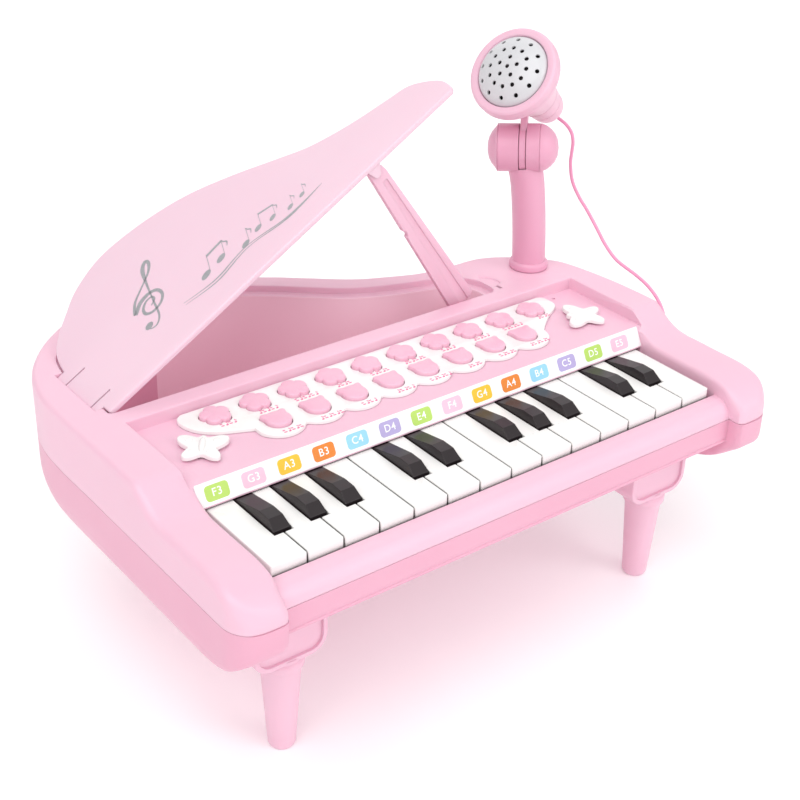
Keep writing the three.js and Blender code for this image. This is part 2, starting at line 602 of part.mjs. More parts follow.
const speakerPlace = new THREE.Matrix4().makeTranslation(SPEAKER.x, SPEAKER.y, BOTTOM_Z + WALL + GAP);
place('speaker', turned([
  [0, 3], [9, 2], [20, 1.4], [21, 0], [SPEAKER.radius, 0], [SPEAKER.radius, 2.2], [22.5, 3.5], [13, 11],
  [13, 17], [0, 17],
], 16, speakerPlace), STEEL);

// ---- lid and prop ---------------------------------------------------------------------------
// Both are made as if the lid were shut, then turned up about the lid's hinge.
const hinged = new THREE.Group();
hinged.position.set(LID_HINGE_X, 0, LID_HINGE_Z);
hinged.rotation.y = -LID_ANGLE;
instrument.add(hinged);

function lid() {
  const [front, back] = HINGE_Y;
  const at = (points) => points.map(([x, y]) => [x - LID_HINGE_X, y]);
  const low = LID_LOW_Z - LID_HINGE_Z;
  let plate = prism(at(lidOutline), low, low + LID_THICK);
  plate = plate.add(box(-HINGE_EDGE, 3, front, back, low, low + LID_THICK));
  plate = plate.add(rod(new THREE.Vector3(0, front, 0), new THREE.Vector3(0, back, 0), 3.2, 14));
  plate = plate.add(rod(new THREE.Vector3(0, front - 3, 0), new THREE.Vector3(0, back + 3, 0), 1.25, 10));
  for (const y of HINGE_SLOTS) {
    plate = plate.subtract(box(-HINGE_EDGE - 1, 11, y - 0.55, y + 0.55, low - 5, low + 5));
  }
  for (const side of [-1, 1]) {
    const inner = PROP_Y + side * (PROP_THICK / 2 + GAP);
    const outer = inner + side * 2;
    const lug = alongY([
      [PROP_U - 6, low + 1], [PROP_U - 3, low - 7.6], [PROP_U + 3, low - 7.6], [PROP_U + 6, low + 1],
    ], Math.min(inner, outer), Math.max(inner, outer));
    plate = plate.add(lug);
  }
  const pin = rod(new THREE.Vector3(PROP_U, PROP_Y - 4, -PROP_DROP),
    new THREE.Vector3(PROP_U, PROP_Y + 4, -PROP_DROP), 1.2, 10);
  return plate.add(pin);
}

// A flat bar that widens towards its foot, straight along the edge that lies against the lid.
function prop() {
  const points = [
    [-4, -1.4], [-1.5, -4], [44, -4], [46, -2.4], [53, -2.4], [55, -4], [PROP_LENGTH - 3, -4],
    [PROP_LENGTH, -1], [PROP_LENGTH, 11.5], [PROP_LENGTH - 3, 14.5], [4, 7], [0, 6], [-4, 3],
  ];
  return alongY(points, -PROP_THICK / 2, PROP_THICK / 2)
    .subtract(rod(new THREE.Vector3(0, -5, 0), new THREE.Vector3(0, 5, 0), 1.5, 10));
}

place('lid', lid(), PINK, hinged);
const propGroup = new THREE.Group();
propGroup.position.set(PROP_U, PROP_Y, -PROP_DROP);
propGroup.rotation.y = PROP_TILT + LID_ANGLE;
hinged.add(propGroup);
place('lid_prop', prop(), PINK, propGroup);

// ---- microphone -----------------------------------------------------------------------------
const postAxis = KNUCKLE.clone().sub(POST_BASE).normalize();

function micPost() {
  const base = turned([[0, 0], [12, 0], [12, 3], [11, 4.5], [0, 4.5]], 16,
    standOn(POST_BASE.clone().add(new THREE.Vector3(0, 0, GAP)), new THREE.Vector3(0, 0, 1)));
  const spigot = disc(POST_BASE.x, POST_BASE.y, RIM_Z - 9, RIM_Z + 1, 7.2, 16);
  const shaft = rod(POST_BASE.clone().add(new THREE.Vector3(0, 0, 2.4)), KNUCKLE, 10, 16);
  const profile = [
    [0, -KNUCKLE_HALF], [7.5, -21.3], [12.6, -17.2], [KNUCKLE_RADIUS, -11.5],
    [KNUCKLE_RADIUS, 11.5], [12.6, 17.2], [7.5, 21.3], [0, KNUCKLE_HALF],
  ];
  const barrel = turned(profile, 16, standOn(KNUCKLE, KNUCKLE_AXIS));
  const slot = turned([[0, -SLOT_HALF], [30, -SLOT_HALF], [30, SLOT_HALF], [0, SLOT_HALF]], 16,
    standOn(KNUCKLE, KNUCKLE_AXIS));
  // The slot leaves a solid core under the tongue's round end.
  const core = rod(POST_BASE, KNUCKLE.clone().addScaledVector(postAxis, -TONGUE_RADIUS - 0.9), 10, 20);
  return shaft.add(barrel).subtract(slot.subtract(core)).add(base).add(spigot)
    .add(rod(KNUCKLE.clone().addScaledVector(KNUCKLE_AXIS, -12),
      KNUCKLE.clone().addScaledVector(KNUCKLE_AXIS, 12), 2.2, 8));
}

// The tongue that turns in the post's slot, and the saddle that carries the microphone's tail.
function micClip() {
  const tongue = turned([
    [0, -SLOT_HALF + GAP], [TONGUE_RADIUS, -SLOT_HALF + GAP], [TONGUE_RADIUS, SLOT_HALF - GAP],
    [0, SLOT_HALF - GAP],
  ], 20, standOn(KNUCKLE, KNUCKLE_AXIS));
  const saddle = MIC_FACE.clone().addScaledVector(MIC_AXIS, -24);
  const neckWidth = 2 * (SLOT_HALF - GAP);
  const up = saddle.clone().sub(KNUCKLE);
  const length = up.length();
  const basis = new THREE.Matrix4();
  const across = KNUCKLE_AXIS.clone().addScaledVector(up.clone().normalize(),
    -KNUCKLE_AXIS.dot(up.clone().normalize())).normalize();
  const along = up.clone().normalize();
  basis.makeBasis(across, along.clone().cross(across), along);
  basis.setPosition(KNUCKLE);
  const neck = solidOf(new THREE.BoxGeometry(neckWidth, 15, length).translate(0, 0, length / 2)
    .applyMatrix4(basis));
  const hole = rod(KNUCKLE.clone().addScaledVector(KNUCKLE_AXIS, -20),
    KNUCKLE.clone().addScaledVector(KNUCKLE_AXIS, 20), 2.6, 8);
  const barrelRoom = turned([[0, -30], [KNUCKLE_RADIUS + 0.5, -30], [KNUCKLE_RADIUS + 0.5, 30], [0, 30]], 16,
    standOn(KNUCKLE, KNUCKLE_AXIS)).subtract(
    turned([[0, -SLOT_HALF + GAP], [40, -SLOT_HALF + GAP], [40, SLOT_HALF - GAP], [0, SLOT_HALF - GAP]], 16,
      standOn(KNUCKLE, KNUCKLE_AXIS)));
  return tongue.add(neck).subtract(hole).subtract(barrelRoom).subtract(micForm(GAP));
}

// The microphone's outer form, grown by a clearance: a wide ring, a tapering shell and a round tail.
function micForm(grow) {
  const profile = [
    [0, -MIC_LENGTH - grow], [MIC_TAIL - 3 + grow, -MIC_LENGTH - grow], [MIC_TAIL + grow, -MIC_LENGTH + 3.4],
    [13.2 + grow, -38], [19 + grow, -22], [24.6 + grow, -9], [MIC_RING + grow, -7.6],
    [MIC_RING + grow, -1.6], [MIC_RING - 1.6 + grow, grow], [0, grow],
  ];
  return turned(profile, 20, standOn(MIC_FACE, MIC_AXIS));
}

function micBody() {
  const hollow = turned([
    [0, -40], [9, -40], [20, -14], [22, -7], [GRILLE_RADIUS + GAP, -6.6], [GRILLE_RADIUS + GAP, 1], [0, 1],
  ], 20, standOn(MIC_FACE, MIC_AXIS));
  const leadWay = rod(MIC_FACE.clone().addScaledVector(MIC_AXIS, -MIC_LENGTH - 2),
    MIC_FACE.clone().addScaledVector(MIC_AXIS, -MIC_LENGTH + 3), LEAD_RADIUS + 0.4, 8);
  return micForm(0).subtract(hollow).subtract(leadWay);
}

// A perforated dome: one hole in the middle and rings of 5 and 12 holes around it.
function micGrille() {
  const dome = (radius, low, lift) => {
    const points = [[0, low]];
    const steps = 4;
    if (radius > 0) {
      points.push([radius, low]);
    }
    for (let i = 0; i <= steps; i += 1) {
      const r = radius * Math.cos(i / steps * Math.PI / 2);
      points.push([r, lift + GRILLE_DOME * Math.sin(i / steps * Math.PI / 2)]);
    }
    return points;
  };
  const seat = standOn(MIC_FACE, MIC_AXIS);
  let shell = turned(dome(GRILLE_RADIUS, -6, -1.8), 20, seat)
    .subtract(turned(dome(GRILLE_RADIUS - 2, -7, -3.4), 20, seat));
  const rings = [{ count: 1, radius: 0 }, { count: 5, radius: 6 }, { count: 12, radius: 14 }];
  for (const { count, radius } of rings) {
    for (let i = 0; i < count; i += 1) {
      const angle = (i + 0.5) / count * 2 * Math.PI;
      const start = new THREE.Vector3(radius * Math.cos(angle), radius * Math.sin(angle), -5);
      const end = start.clone().setZ(12);
      shell = shell.subtract(rod(start.applyMatrix4(seat), end.applyMatrix4(seat), 1.2, 4));
    }
  }
  return shell;
}

place('mic_post', micPost(), PINK);
place('mic_clip', micClip(), PINK);
place('mic_body', micBody(), PINK);
place('mic_grille', micGrille(), WHITE);

const leadCurve = new THREE.CatmullRomCurve3(LEAD_ROUTE.map((point) => new THREE.Vector3(...point)));
const leadSection = shapeOf(arcPoints(0, 0, LEAD_RADIUS, 0, 2 * Math.PI, 8).slice(0, 8));
const leadTube = new THREE.ExtrudeGeometry(leadSection, { steps: 50, extrudePath: leadCurve });
place('mic_lead', solidOf(leadTube), LEAD_PINK);

export default instrument;
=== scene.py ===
"""Looks for the toy grand piano: detailed pieces, materials, floor, light and camera, built around
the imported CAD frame. Lengths are millimetres measured from the middle of the keyboard (x), the white
keys' front edge (y) and the floor (z), as in the part's source; metres() takes them to the frame."""

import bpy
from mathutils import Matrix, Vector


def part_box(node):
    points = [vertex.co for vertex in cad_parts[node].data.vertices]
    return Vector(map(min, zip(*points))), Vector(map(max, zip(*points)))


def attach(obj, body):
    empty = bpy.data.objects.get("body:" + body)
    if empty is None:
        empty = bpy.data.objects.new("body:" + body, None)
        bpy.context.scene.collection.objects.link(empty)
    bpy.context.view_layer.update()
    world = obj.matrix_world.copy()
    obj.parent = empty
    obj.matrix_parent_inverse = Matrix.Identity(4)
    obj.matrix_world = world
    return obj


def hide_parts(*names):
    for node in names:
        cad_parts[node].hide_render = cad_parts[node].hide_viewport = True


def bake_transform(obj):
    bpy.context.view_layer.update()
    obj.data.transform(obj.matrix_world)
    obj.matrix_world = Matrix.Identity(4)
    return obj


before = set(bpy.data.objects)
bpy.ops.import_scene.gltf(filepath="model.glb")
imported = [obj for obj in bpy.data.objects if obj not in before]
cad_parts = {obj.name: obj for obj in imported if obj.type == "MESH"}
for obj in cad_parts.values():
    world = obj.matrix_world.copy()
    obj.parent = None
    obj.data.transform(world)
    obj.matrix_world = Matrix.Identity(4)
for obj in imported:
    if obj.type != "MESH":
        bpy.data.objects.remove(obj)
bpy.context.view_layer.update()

import math

import bmesh
import bpy
import numpy as np
from mathutils import Matrix, Vector

MM = 0.001
KEY_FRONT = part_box("white_key_1")[0].y        # where y = 0 lies in the frame


# ---- points and meshes ------------------------------------------------------------------------
def metres(points):
    """Millimetres from the keyboard's datum to the frame's metres."""
    result = np.array(points, float).reshape(-1, 3) * MM
    result[:, 1] += KEY_FRONT
    return result


def in_scene(name, data):
    """A new object that shows a mesh, curve, light or camera."""
    piece = bpy.data.objects.new(name, data)
    bpy.context.scene.collection.objects.link(piece)
    return piece


def mesh_of(name, points, faces):
    data = bpy.data.meshes.new(name)
    data.from_pydata([tuple(p) for p in metres(points)], [], [tuple(int(i) for i in f) for f in faces])
    return in_scene(name, data)


def tidy_mesh(piece, merge=0.004):
    """Welds coincident points, drops empty faces and turns the faces outwards."""
    work = bmesh.new()
    work.from_mesh(piece.data)
    bmesh.ops.remove_doubles(work, verts=work.verts, dist=merge * MM)
    bmesh.ops.dissolve_degenerate(work, edges=work.edges, dist=merge * MM)
    bmesh.ops.recalc_face_normals(work, faces=work.faces)
    work.to_mesh(piece.data)
    work.free()
    return piece


def loft(name, rings, caps=True):
    """A skin through closed rings of equal count, with flat end caps."""
    count = len(rings[0])
    points = np.concatenate([np.array(ring, float) for ring in rings])
    faces = []
    for level in range(len(rings) - 1):
        for i in range(count):
            a, b = level * count + i, level * count + (i + 1) % count
            faces.append((a, b, b + count, a + count))
    if caps:
        faces.append(tuple(range(count))[::-1])
        faces.append(tuple(range((len(rings) - 1) * count, len(rings) * count)))
    return tidy_mesh(mesh_of(name, points, faces))


def applied(piece):
    """Applies the piece's modifiers to its mesh."""
    depsgraph = bpy.context.evaluated_depsgraph_get()
    result = bpy.data.meshes.new_from_object(piece.evaluated_get(depsgraph))
    piece.modifiers.clear()
    piece.data = result
    return piece


def boolean(base, operation, tools):
    """Joins, cuts or intersects base with each tool, and removes the tools."""
    for tool in tools:
        step = base.modifiers.new("step", "BOOLEAN")
        step.solver = "MANIFOLD"
        step.operation = operation
        step.object = tool
    applied(base)
    for tool in tools:
        bpy.data.objects.remove(tool)
    return base


def cut(base, *tools):
    return boolean(base, "DIFFERENCE", tools)


def join(base, *tools):
    return boolean(base, "UNION", tools)


def keep_inside(base, *tools):
    return boolean(base, "INTERSECT", tools)


def gathered(name, pieces):
    """One object from several, each keeping its own closed mesh."""
    work = bmesh.new()
    for piece in pieces:
        work.from_mesh(piece.data)
        bpy.data.objects.remove(piece)
    data = bpy.data.meshes.new(name)
    work.to_mesh(data)
    work.free()
    return in_scene(name, data)


def bevelled(piece, width, segments=2, angle=32):
    step = piece.modifiers.new("edges", "BEVEL")
    step.width = width * MM
    step.segments = segments
    step.limit_method = "ANGLE"
    step.angle_limit = math.radians(angle)
    step.use_clamp_overlap = True
    return applied(piece)


# ---- outlines and basic forms -----------------------------------------------------------------
def offset(outline, distance):
    """Moves a closed anticlockwise outline outwards, or inwards if distance is negative."""
    points = np.array(outline, float)
    before = points - np.roll(points, 1, axis=0)
    after = np.roll(points, -1, axis=0) - points
    before /= np.maximum(np.linalg.norm(before, axis=1, keepdims=True), 1e-9)
    after /= np.maximum(np.linalg.norm(after, axis=1, keepdims=True), 1e-9)
    along = before + after
    along /= np.maximum(np.linalg.norm(along, axis=1, keepdims=True), 1e-9)
    stretch = 1 / np.maximum(0.5, np.sum(along * after, axis=1))
    return points + np.stack([along[:, 1], -along[:, 0]], 1) * (distance * stretch)[:, None]


def spline(points, count):
    """A smooth curve through points, cut into equal lengths."""
    points = np.array(points, float)
    padded = np.concatenate([points[:1], points, points[-1:]])
    dense = []
    for i in range(len(points) - 1):
        p0, p1, p2, p3 = padded[i:i + 4]
        for t in np.linspace(0, 1, 24, endpoint=False):
            v0, v1 = (p2 - p0) / 2, (p3 - p1) / 2
            dense.append((2 * p1 - 2 * p2 + v0 + v1) * t ** 3 + (3 * p2 - 3 * p1 - 2 * v0 - v1) * t ** 2
                         + v0 * t + p1)
    dense = np.array(dense + [points[-1]])
    walked = np.concatenate([[0], np.cumsum(np.linalg.norm(np.diff(dense, axis=0), axis=1))])
    places = np.linspace(0, walked[-1], count + 1)
    return np.stack([np.interp(places, walked, dense[:, k]) for k in range(dense.shape[1])], 1)


def arc(centre, radius, start, end, steps):
    """Points on an arc, from angle start to end in degrees."""
    angles = np.radians(np.linspace(start, end, steps + 1))
    return np.stack([centre[0] + radius * np.cos(angles), centre[1] + radius * np.sin(angles)], 1)


def rounded_rectangle(low_x, high_x, low_y, high_y, radius, steps=5):
    corners = [((high_x - radius, low_y + radius), -90), ((high_x - radius, high_y - radius), 0),
               ((low_x + radius, high_y - radius), 90), ((low_x + radius, low_y + radius), 180)]
    return np.concatenate([arc(centre, radius, turn, turn + 90, steps) for centre, turn in corners])


def circle(x, y, radius, count=24):
    return arc((x, y), radius, 0, 360, count)[:-1]


def at_height(outline, z):
    outline = np.array(outline, float)
    return np.concatenate([outline, np.full((len(outline), 1), float(z))], 1)


def slab(name, outline, low, high, top_round=0, bottom_round=0, steps=4):
    """A plate with rounded top and bottom edges."""
    rings = []
    for i in range(steps if bottom_round else 0):
        turn = math.pi / 2 * i / steps
        rings.append(at_height(offset(outline, -bottom_round * (1 - math.sin(turn))),
                               low + bottom_round * (1 - math.cos(turn))))
    rings.append(at_height(outline, low + bottom_round))
    rings.append(at_height(outline, high - top_round))
    for i in range(steps if top_round else 0):
        turn = math.pi / 2 * (i + 1) / steps
        rings.append(at_height(offset(outline, -top_round * (1 - math.cos(turn))),
                               high - top_round * (1 - math.sin(turn))))
    return loft(name, rings)


def flared_cutter(outline, low, surface, radius, above=20, steps=4):
    """A cutter that leaves a rounded lip where it comes out of a flat surface."""
    rings = [at_height(outline, low), at_height(outline, surface - radius)]
    for i in range(steps):
        turn = math.pi / 2 * (i + 1) / steps
        rings.append(at_height(offset(outline, radius * (1 - math.cos(turn))),
                               surface - radius * (1 - math.sin(turn))))
    rings.append(at_height(offset(outline, radius), surface + above))
    return loft("cutter", rings)


def along_x(name, profile, low_x, high_x):
    """A (y, z) outline running along x."""
    rings = [[(x, y, z) for y, z in profile] for x in (low_x, high_x)]
    return loft(name, rings)


def along_y(name, profile, low_y, high_y):
    """An (x, z) outline running along y."""
    rings = [[(x, y, z) for x, z in profile] for y in (low_y, high_y)]
    return loft(name, rings)


def block(low_x, high_x, low_y, high_y, low_z, high_z):
    profile = [(low_y, low_z), (high_y, low_z), (high_y, high_z), (low_y, high_z)]
    return along_x("block", profile, low_x, high_x)


def stand_on(point, axis):
    """Takes +Z to axis and the origin to point, in millimetres."""
    turn = Vector((0, 0, 1)).rotation_difference(Vector(axis))
    return Matrix.Translation(Vector(point)) @ turn.to_matrix().to_4x4()


def transformed(points, matrix):
    points = np.array(points, float)
    rotation = np.array(matrix.to_3x3())
    return points @ rotation.T + np.array(matrix.translation)


def turned(name, profile, segments=48, place=None):
    """A turned solid whose (radius, height) profile starts and ends on the axis."""
    angles = np.arange(segments) / segments * 2 * math.pi
    rings = []
    for radius, height in profile:
        ring = np.stack([radius * np.cos(angles), radius * np.sin(angles), np.full(segments, height)], 1)
        rings.append(transformed(ring, place) if place else ring)
    return loft(name, rings, caps=False)


def rod(start, end, radius, segments=24):
    start, end = Vector(start), Vector(end)
    length = (end - start).length
    profile = [(0, 0), (radius, 0), (radius, length), (0, length)]
    return turned("rod", profile, segments, stand_on(start, (end - start).normalized()))


def swept(name, path, section, up=(0, 0, 1)):
    """A section carried along a path without twisting, closed at both ends."""
    path = np.array(path, float)
    tangents = np.gradient(path, axis=0)
    tangents /= np.linalg.norm(tangents, axis=1, keepdims=True)
    side = np.cross(tangents[0], up)
    side /= np.linalg.norm(side)
    rings = []
    for i, (point, tangent) in enumerate(zip(path, tangents)):
        side = side - tangent * np.dot(side, tangent)
        side /= np.linalg.norm(side)
        over = np.cross(side, tangent)
        profile = section(i / (len(path) - 1)) if callable(section) else section
        rings.append([point + side * a + over * b for a, b in profile])
    return loft(name, rings)


# ---- camera -----------------------------------------------------------------------------------
CAMERA_PLACE = Vector((-0.4596, -0.6047, 0.5572))              # metres
CAMERA_RIGHT = Vector((0.7941, -0.6072, 0.0265))
CAMERA_UP = Vector((0.2829, 0.4080, 0.8681))
CAMERA_LENS = 66.06
CAMERA_SENSOR = 36


def make_camera():
    data = bpy.data.cameras.new("camera")
    data.lens = CAMERA_LENS
    data.sensor_width = CAMERA_SENSOR
    camera = in_scene("camera", data)
    right = CAMERA_RIGHT.normalized()
    back = right.cross(CAMERA_UP).normalized()
    up = back.cross(right)
    turn = Matrix((right, up, back)).transposed().to_4x4()
    camera.matrix_world = Matrix.Translation(CAMERA_PLACE) @ turn
    bpy.context.scene.camera = camera


# ---- materials --------------------------------------------------------------------------------
def srgb(red, green, blue):
    """An 8-bit sRGB colour as linear RGBA."""
    def linear(value):
        value /= 255
        return value / 12.92 if value <= 0.04045 else ((value + 0.055) / 1.055) ** 2.4
    return (linear(red), linear(green), linear(blue), 1)


class Nodes:
    """Short names for building a material's node tree."""

    def __init__(self, name):
        self.material = bpy.data.materials.new(name)
        self.material.use_nodes = True
        self.tree = self.material.node_tree
        self.shader = self.tree.nodes["Principled BSDF"]
        self.place = self.add("ShaderNodeTexCoord").outputs["Object"]

    def add(self, kind, **values):
        node = self.tree.nodes.new(kind)
        for key, value in values.items():
            if key in node.inputs:
                node.inputs[key].default_value = value
            else:
                setattr(node, key, value)
        return node

    def link(self, source, target):
        self.tree.links.new(source, target)

    def feed(self, socket, value):
        """Gives one of the shader's inputs a fixed value or another node's output."""
        if isinstance(value, bpy.types.NodeSocket):
            self.link(value, self.shader.inputs[socket])
        else:
            self.shader.inputs[socket].default_value = value

    def noise(self, scale, detail=4, roughness=0.55, stretch=None):
        node = self.add("ShaderNodeTexNoise", Scale=scale, Detail=detail, Roughness=roughness)
        where = self.place
        if stretch:
            mapping = self.add("ShaderNodeMapping", Scale=stretch)
            self.link(where, mapping.inputs["Vector"])
            where = mapping.outputs["Vector"]
        self.link(where, node.inputs["Vector"])
        return node.outputs["Fac"]

    def spread(self, value, low, high, from_low=0.3, from_high=0.7):
        node = self.add("ShaderNodeMapRange", **{"From Min": from_low, "From Max": from_high,
                                                 "To Min": low, "To Max": high})
        self.link(value, node.inputs["Value"])
        return node.outputs["Result"]

    def mixed(self, factor, first, second):
        node = self.add("ShaderNodeMix", data_type="RGBA")
        for socket, value in ((node.inputs[6], first), (node.inputs[7], second)):
            if isinstance(value, bpy.types.NodeSocket):
                self.link(value, socket)
            else:
                socket.default_value = value
        self.link(factor, node.inputs[0])
        return node.outputs[2]

    def bump(self, height, distance, strength=1.0, under=None):
        node = self.add("ShaderNodeBump", Distance=distance, Strength=strength)
        self.link(height, node.inputs["Height"])
        if under:
            self.link(under, node.inputs["Normal"])
        return node.outputs["Normal"]

    def edge_wear(self, radius):
        """High where the surface turns sharply, and the normal of the rounded edge."""
        rounded = self.add("ShaderNodeBevel", samples=4, Radius=radius)
        flat = self.add("ShaderNodeNewGeometry")
        facing = self.add("ShaderNodeVectorMath", operation="DOT_PRODUCT")
        self.link(rounded.outputs["Normal"], facing.inputs[0])
        self.link(flat.outputs["Normal"], facing.inputs[1])
        return self.spread(facing.outputs["Value"], 1, 0, 0.75, 0.995), rounded.outputs["Normal"]


# Painted shade: the dark colour laid on the keys' sides in the gaps between them.
GAP_SHADE = srgb(46, 32, 38)
GAP_REACH = 0.005                 # metres within which painted shade darkens the keys' sides where neighbours stand close
SCATTER = (0.004, 0.002, 0.0025)  # metres that red, green and blue travel inside the plastic


def moulded(name, colour, shade, edge, rough=(0.36, 0.46), grain=0.00002, grain_scale=2600,
            round_edges=0.0006, subsurface=0.0, coat=0.0, scuffs=0.03, paint_gap_shade=False):
    """Injection-moulded plastic: faint flow marks in the colour, a fine grain, scuffs and worn edges, and, if
    asked, painted shade in the gaps between neighbouring parts.
    """
    n = Nodes(name)
    wear, edges = n.edge_wear(round_edges)
    colour_flow = n.mixed(n.spread(n.noise(9, detail=3), 0, 1), colour, shade)
    worn = n.add("ShaderNodeMath", operation="MULTIPLY")
    n.link(wear, worn.inputs[0])
    n.link(n.spread(n.noise(160), 0.1, 0.55), worn.inputs[1])
    surface = n.mixed(worn.outputs[0], colour_flow, edge)
    if paint_gap_shade:
        # Painted shade: ambient occlusion darkens the colour where neighbouring parts stand close.
        gap_occlusion = n.add("ShaderNodeAmbientOcclusion", samples=4, Distance=GAP_REACH)
        surface = n.mixed(n.spread(gap_occlusion.outputs["AO"], 0, 1, 0.2, 0.45), GAP_SHADE, surface)
    n.feed("Base Color", surface)
    scratches = n.noise(90, detail=8, roughness=0.7, stretch=(1, 9, 3))
    roughness = n.add("ShaderNodeMath", operation="ADD")
    n.link(n.spread(n.noise(22, detail=5), rough[0], rough[1]), roughness.inputs[0])
    n.link(n.spread(scratches, 0, scuffs, 0.55, 0.75), roughness.inputs[1])
    n.feed("Roughness", roughness.outputs[0])
    fine = n.bump(n.noise(grain_scale, detail=2), grain, 0.6, edges)
    n.feed("Normal", n.bump(n.noise(38, detail=2), 0.00006, 0.35, fine))
    n.feed("IOR", 1.5)
    if subsurface:
        n.feed("Subsurface Weight", subsurface)
        n.feed("Subsurface Radius", SCATTER)
        n.feed("Subsurface Scale", 1)
    if coat:
        n.feed("Coat Weight", coat)
        n.feed("Coat Roughness", 0.08)
    return n.material


def printed(name, colour, paper, speckle=0.12):
    """Screen-printed ink: dense, with a fine break-up where the base shows."""
    n = Nodes(name)
    dots = n.noise(5200, detail=2)
    n.feed("Base Color", n.mixed(n.spread(dots, 0, speckle, 0.5, 0.75), colour, paper))
    n.feed("Roughness", n.spread(n.noise(60), 0.3, 0.42))
    n.feed("Normal", n.bump(dots, 0.000015, 0.5))
    return n.material


def foil(name):
    """Hot-stamped silver foil with fine brushed streaks and a few worn spots."""
    n = Nodes(name)
    streaks = n.noise(700, detail=6, stretch=(1, 14, 1))
    n.feed("Base Color", n.mixed(n.spread(streaks, 0, 1), srgb(214, 214, 216), srgb(176, 178, 184)))
    n.feed("Metallic", 0.85)
    n.feed("Roughness", n.spread(n.noise(240), 0.28, 0.46))
    n.feed("Normal", n.bump(streaks, 0.00001, 0.5))
    return n.material


def steel(name):
    n = Nodes(name)
    n.feed("Base Color", n.mixed(n.noise(300), srgb(150, 152, 156), srgb(196, 198, 202)))
    n.feed("Metallic", 1)
    n.feed("Roughness", n.spread(n.noise(900, stretch=(1, 1, 12)), 0.22, 0.42))
    n.feed("Normal", n.bump(n.noise(1500), 0.00001, 0.6))
    return n.material


def board(name):
    """Solder mask over copper tracks."""
    n = Nodes(name)
    tracks = n.add("ShaderNodeTexBrick", offset=0.37, squash=1.4, Scale=140, Color1=srgb(30, 92, 56),
                   Color2=srgb(36, 104, 62), Mortar=srgb(70, 140, 84), **{"Mortar Size": 0.07})
    n.link(n.place, tracks.inputs["Vector"])
    n.feed("Base Color", tracks.outputs["Color"])
    n.feed("Roughness", n.spread(n.noise(80), 0.3, 0.5))
    n.feed("Normal", n.bump(tracks.outputs["Fac"], 0.00003, 0.8))
    return n.material


PINK = moulded("shell_pink", srgb(238, 194, 212), srgb(236, 190, 209), srgb(246, 215, 228), subsurface=0.12)
# Painted light: a paler pink for the well's inner faces, brightening the well under the lid.
WELL_PINK_PAINTED_LIGHT = moulded("well_pink_painted_light", srgb(254, 219, 231), srgb(253, 215, 228), srgb(254, 226, 236))
# Painted shade: a deeper copy of the shell pink that darkens the lower casing.
LOWER_PINK_PAINTED_SHADE = moulded("lower_pink_painted_shade", srgb(231, 172, 194), srgb(229, 168, 191), srgb(242, 200, 216),
                     subsurface=0.12)
# Painted sheen: a paler copy of the shell pink that whitens the lid's upward face.
LID_PINK_PAINTED_SHEEN = moulded("lid_pink_painted_sheen", srgb(237, 205, 219), srgb(235, 201, 216), srgb(247, 220, 230), subsurface=0.12)
BUTTON_PINK = moulded("button_pink", srgb(240, 189, 209), srgb(238, 184, 205), srgb(247, 204, 220),
                      rough=(0.26, 0.36), round_edges=0.0004, subsurface=0.15)
WHITE = moulded("white_gloss", srgb(246, 245, 243), srgb(243, 242, 239), srgb(252, 252, 251),
                rough=(0.16, 0.26), grain=0.000006, round_edges=0.0004, coat=0.35, scuffs=0.06)
# The keys' white, with painted shade on their sides in the gaps between keys.
KEY_WHITE_GAP_SHADE = moulded("key_white_painted_gap_shade", srgb(246, 245, 243), srgb(243, 242, 239), srgb(252, 252, 251),
                    rough=(0.26, 0.36), round_edges=0.0004, paint_gap_shade=True)
# Painted shade: a deeper copy of the shell pink that darkens the microphone's post and clip.
POST_PINK_PAINTED_SHADE = moulded("post_pink_painted_shade", srgb(231, 170, 195), srgb(229, 166, 191), srgb(240, 196, 213),
                    subsurface=0.12)
# Partly the grille's silver-white tone, partly painted shade: a grey white darker than the white parts.
GRILLE_SILVER_AND_SHADE = moulded("grille_silver_and_painted_shade", srgb(216, 216, 218), srgb(210, 210, 213), srgb(238, 238, 240),
                       rough=(0.24, 0.34))
BLACK = moulded("black_key", srgb(34, 26, 29), srgb(40, 31, 34), srgb(92, 84, 88), rough=(0.3, 0.4),
                grain=0.000008, round_edges=0.0003, scuffs=0.08)
# Dark: the microphone's foam, and painted shade in the finger slot.
DARK_FOAM_AND_SHADE = moulded("dark_foam_and_painted_shade", srgb(40, 26, 32), srgb(34, 22, 28), srgb(52, 36, 42), rough=(0.6, 0.8))
SHEATH = moulded("lead_sheath", srgb(238, 160, 194), srgb(234, 153, 189), srgb(242, 176, 205),
                 rough=(0.46, 0.58), grain=0.00002, grain_scale=4200, round_edges=0.0002)
FOIL = foil("silver_foil")
STEEL = steel("speaker_steel")
BOARD = board("circuit_board")
PAPER = printed("sticker_white", srgb(250, 250, 250), srgb(244, 242, 240), 0.3)
PINK_INK = printed("pink_ink", srgb(233, 110, 160), srgb(246, 245, 243))
CAPTION_INK = printed("caption_white", srgb(252, 252, 252), srgb(244, 244, 246), 0.2)


def finished(piece, material, body, node=None, smooth=32):
    """Gives a piece its material, shading and body, and hides the CAD node it stands for."""
    piece.data.materials.clear()
    piece.data.materials.append(material)
    piece.data.shade_smooth()
    piece.data.set_sharp_from_angle(angle=math.radians(smooth))
    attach(piece, body)
    if node:
        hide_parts(node)
    return piece


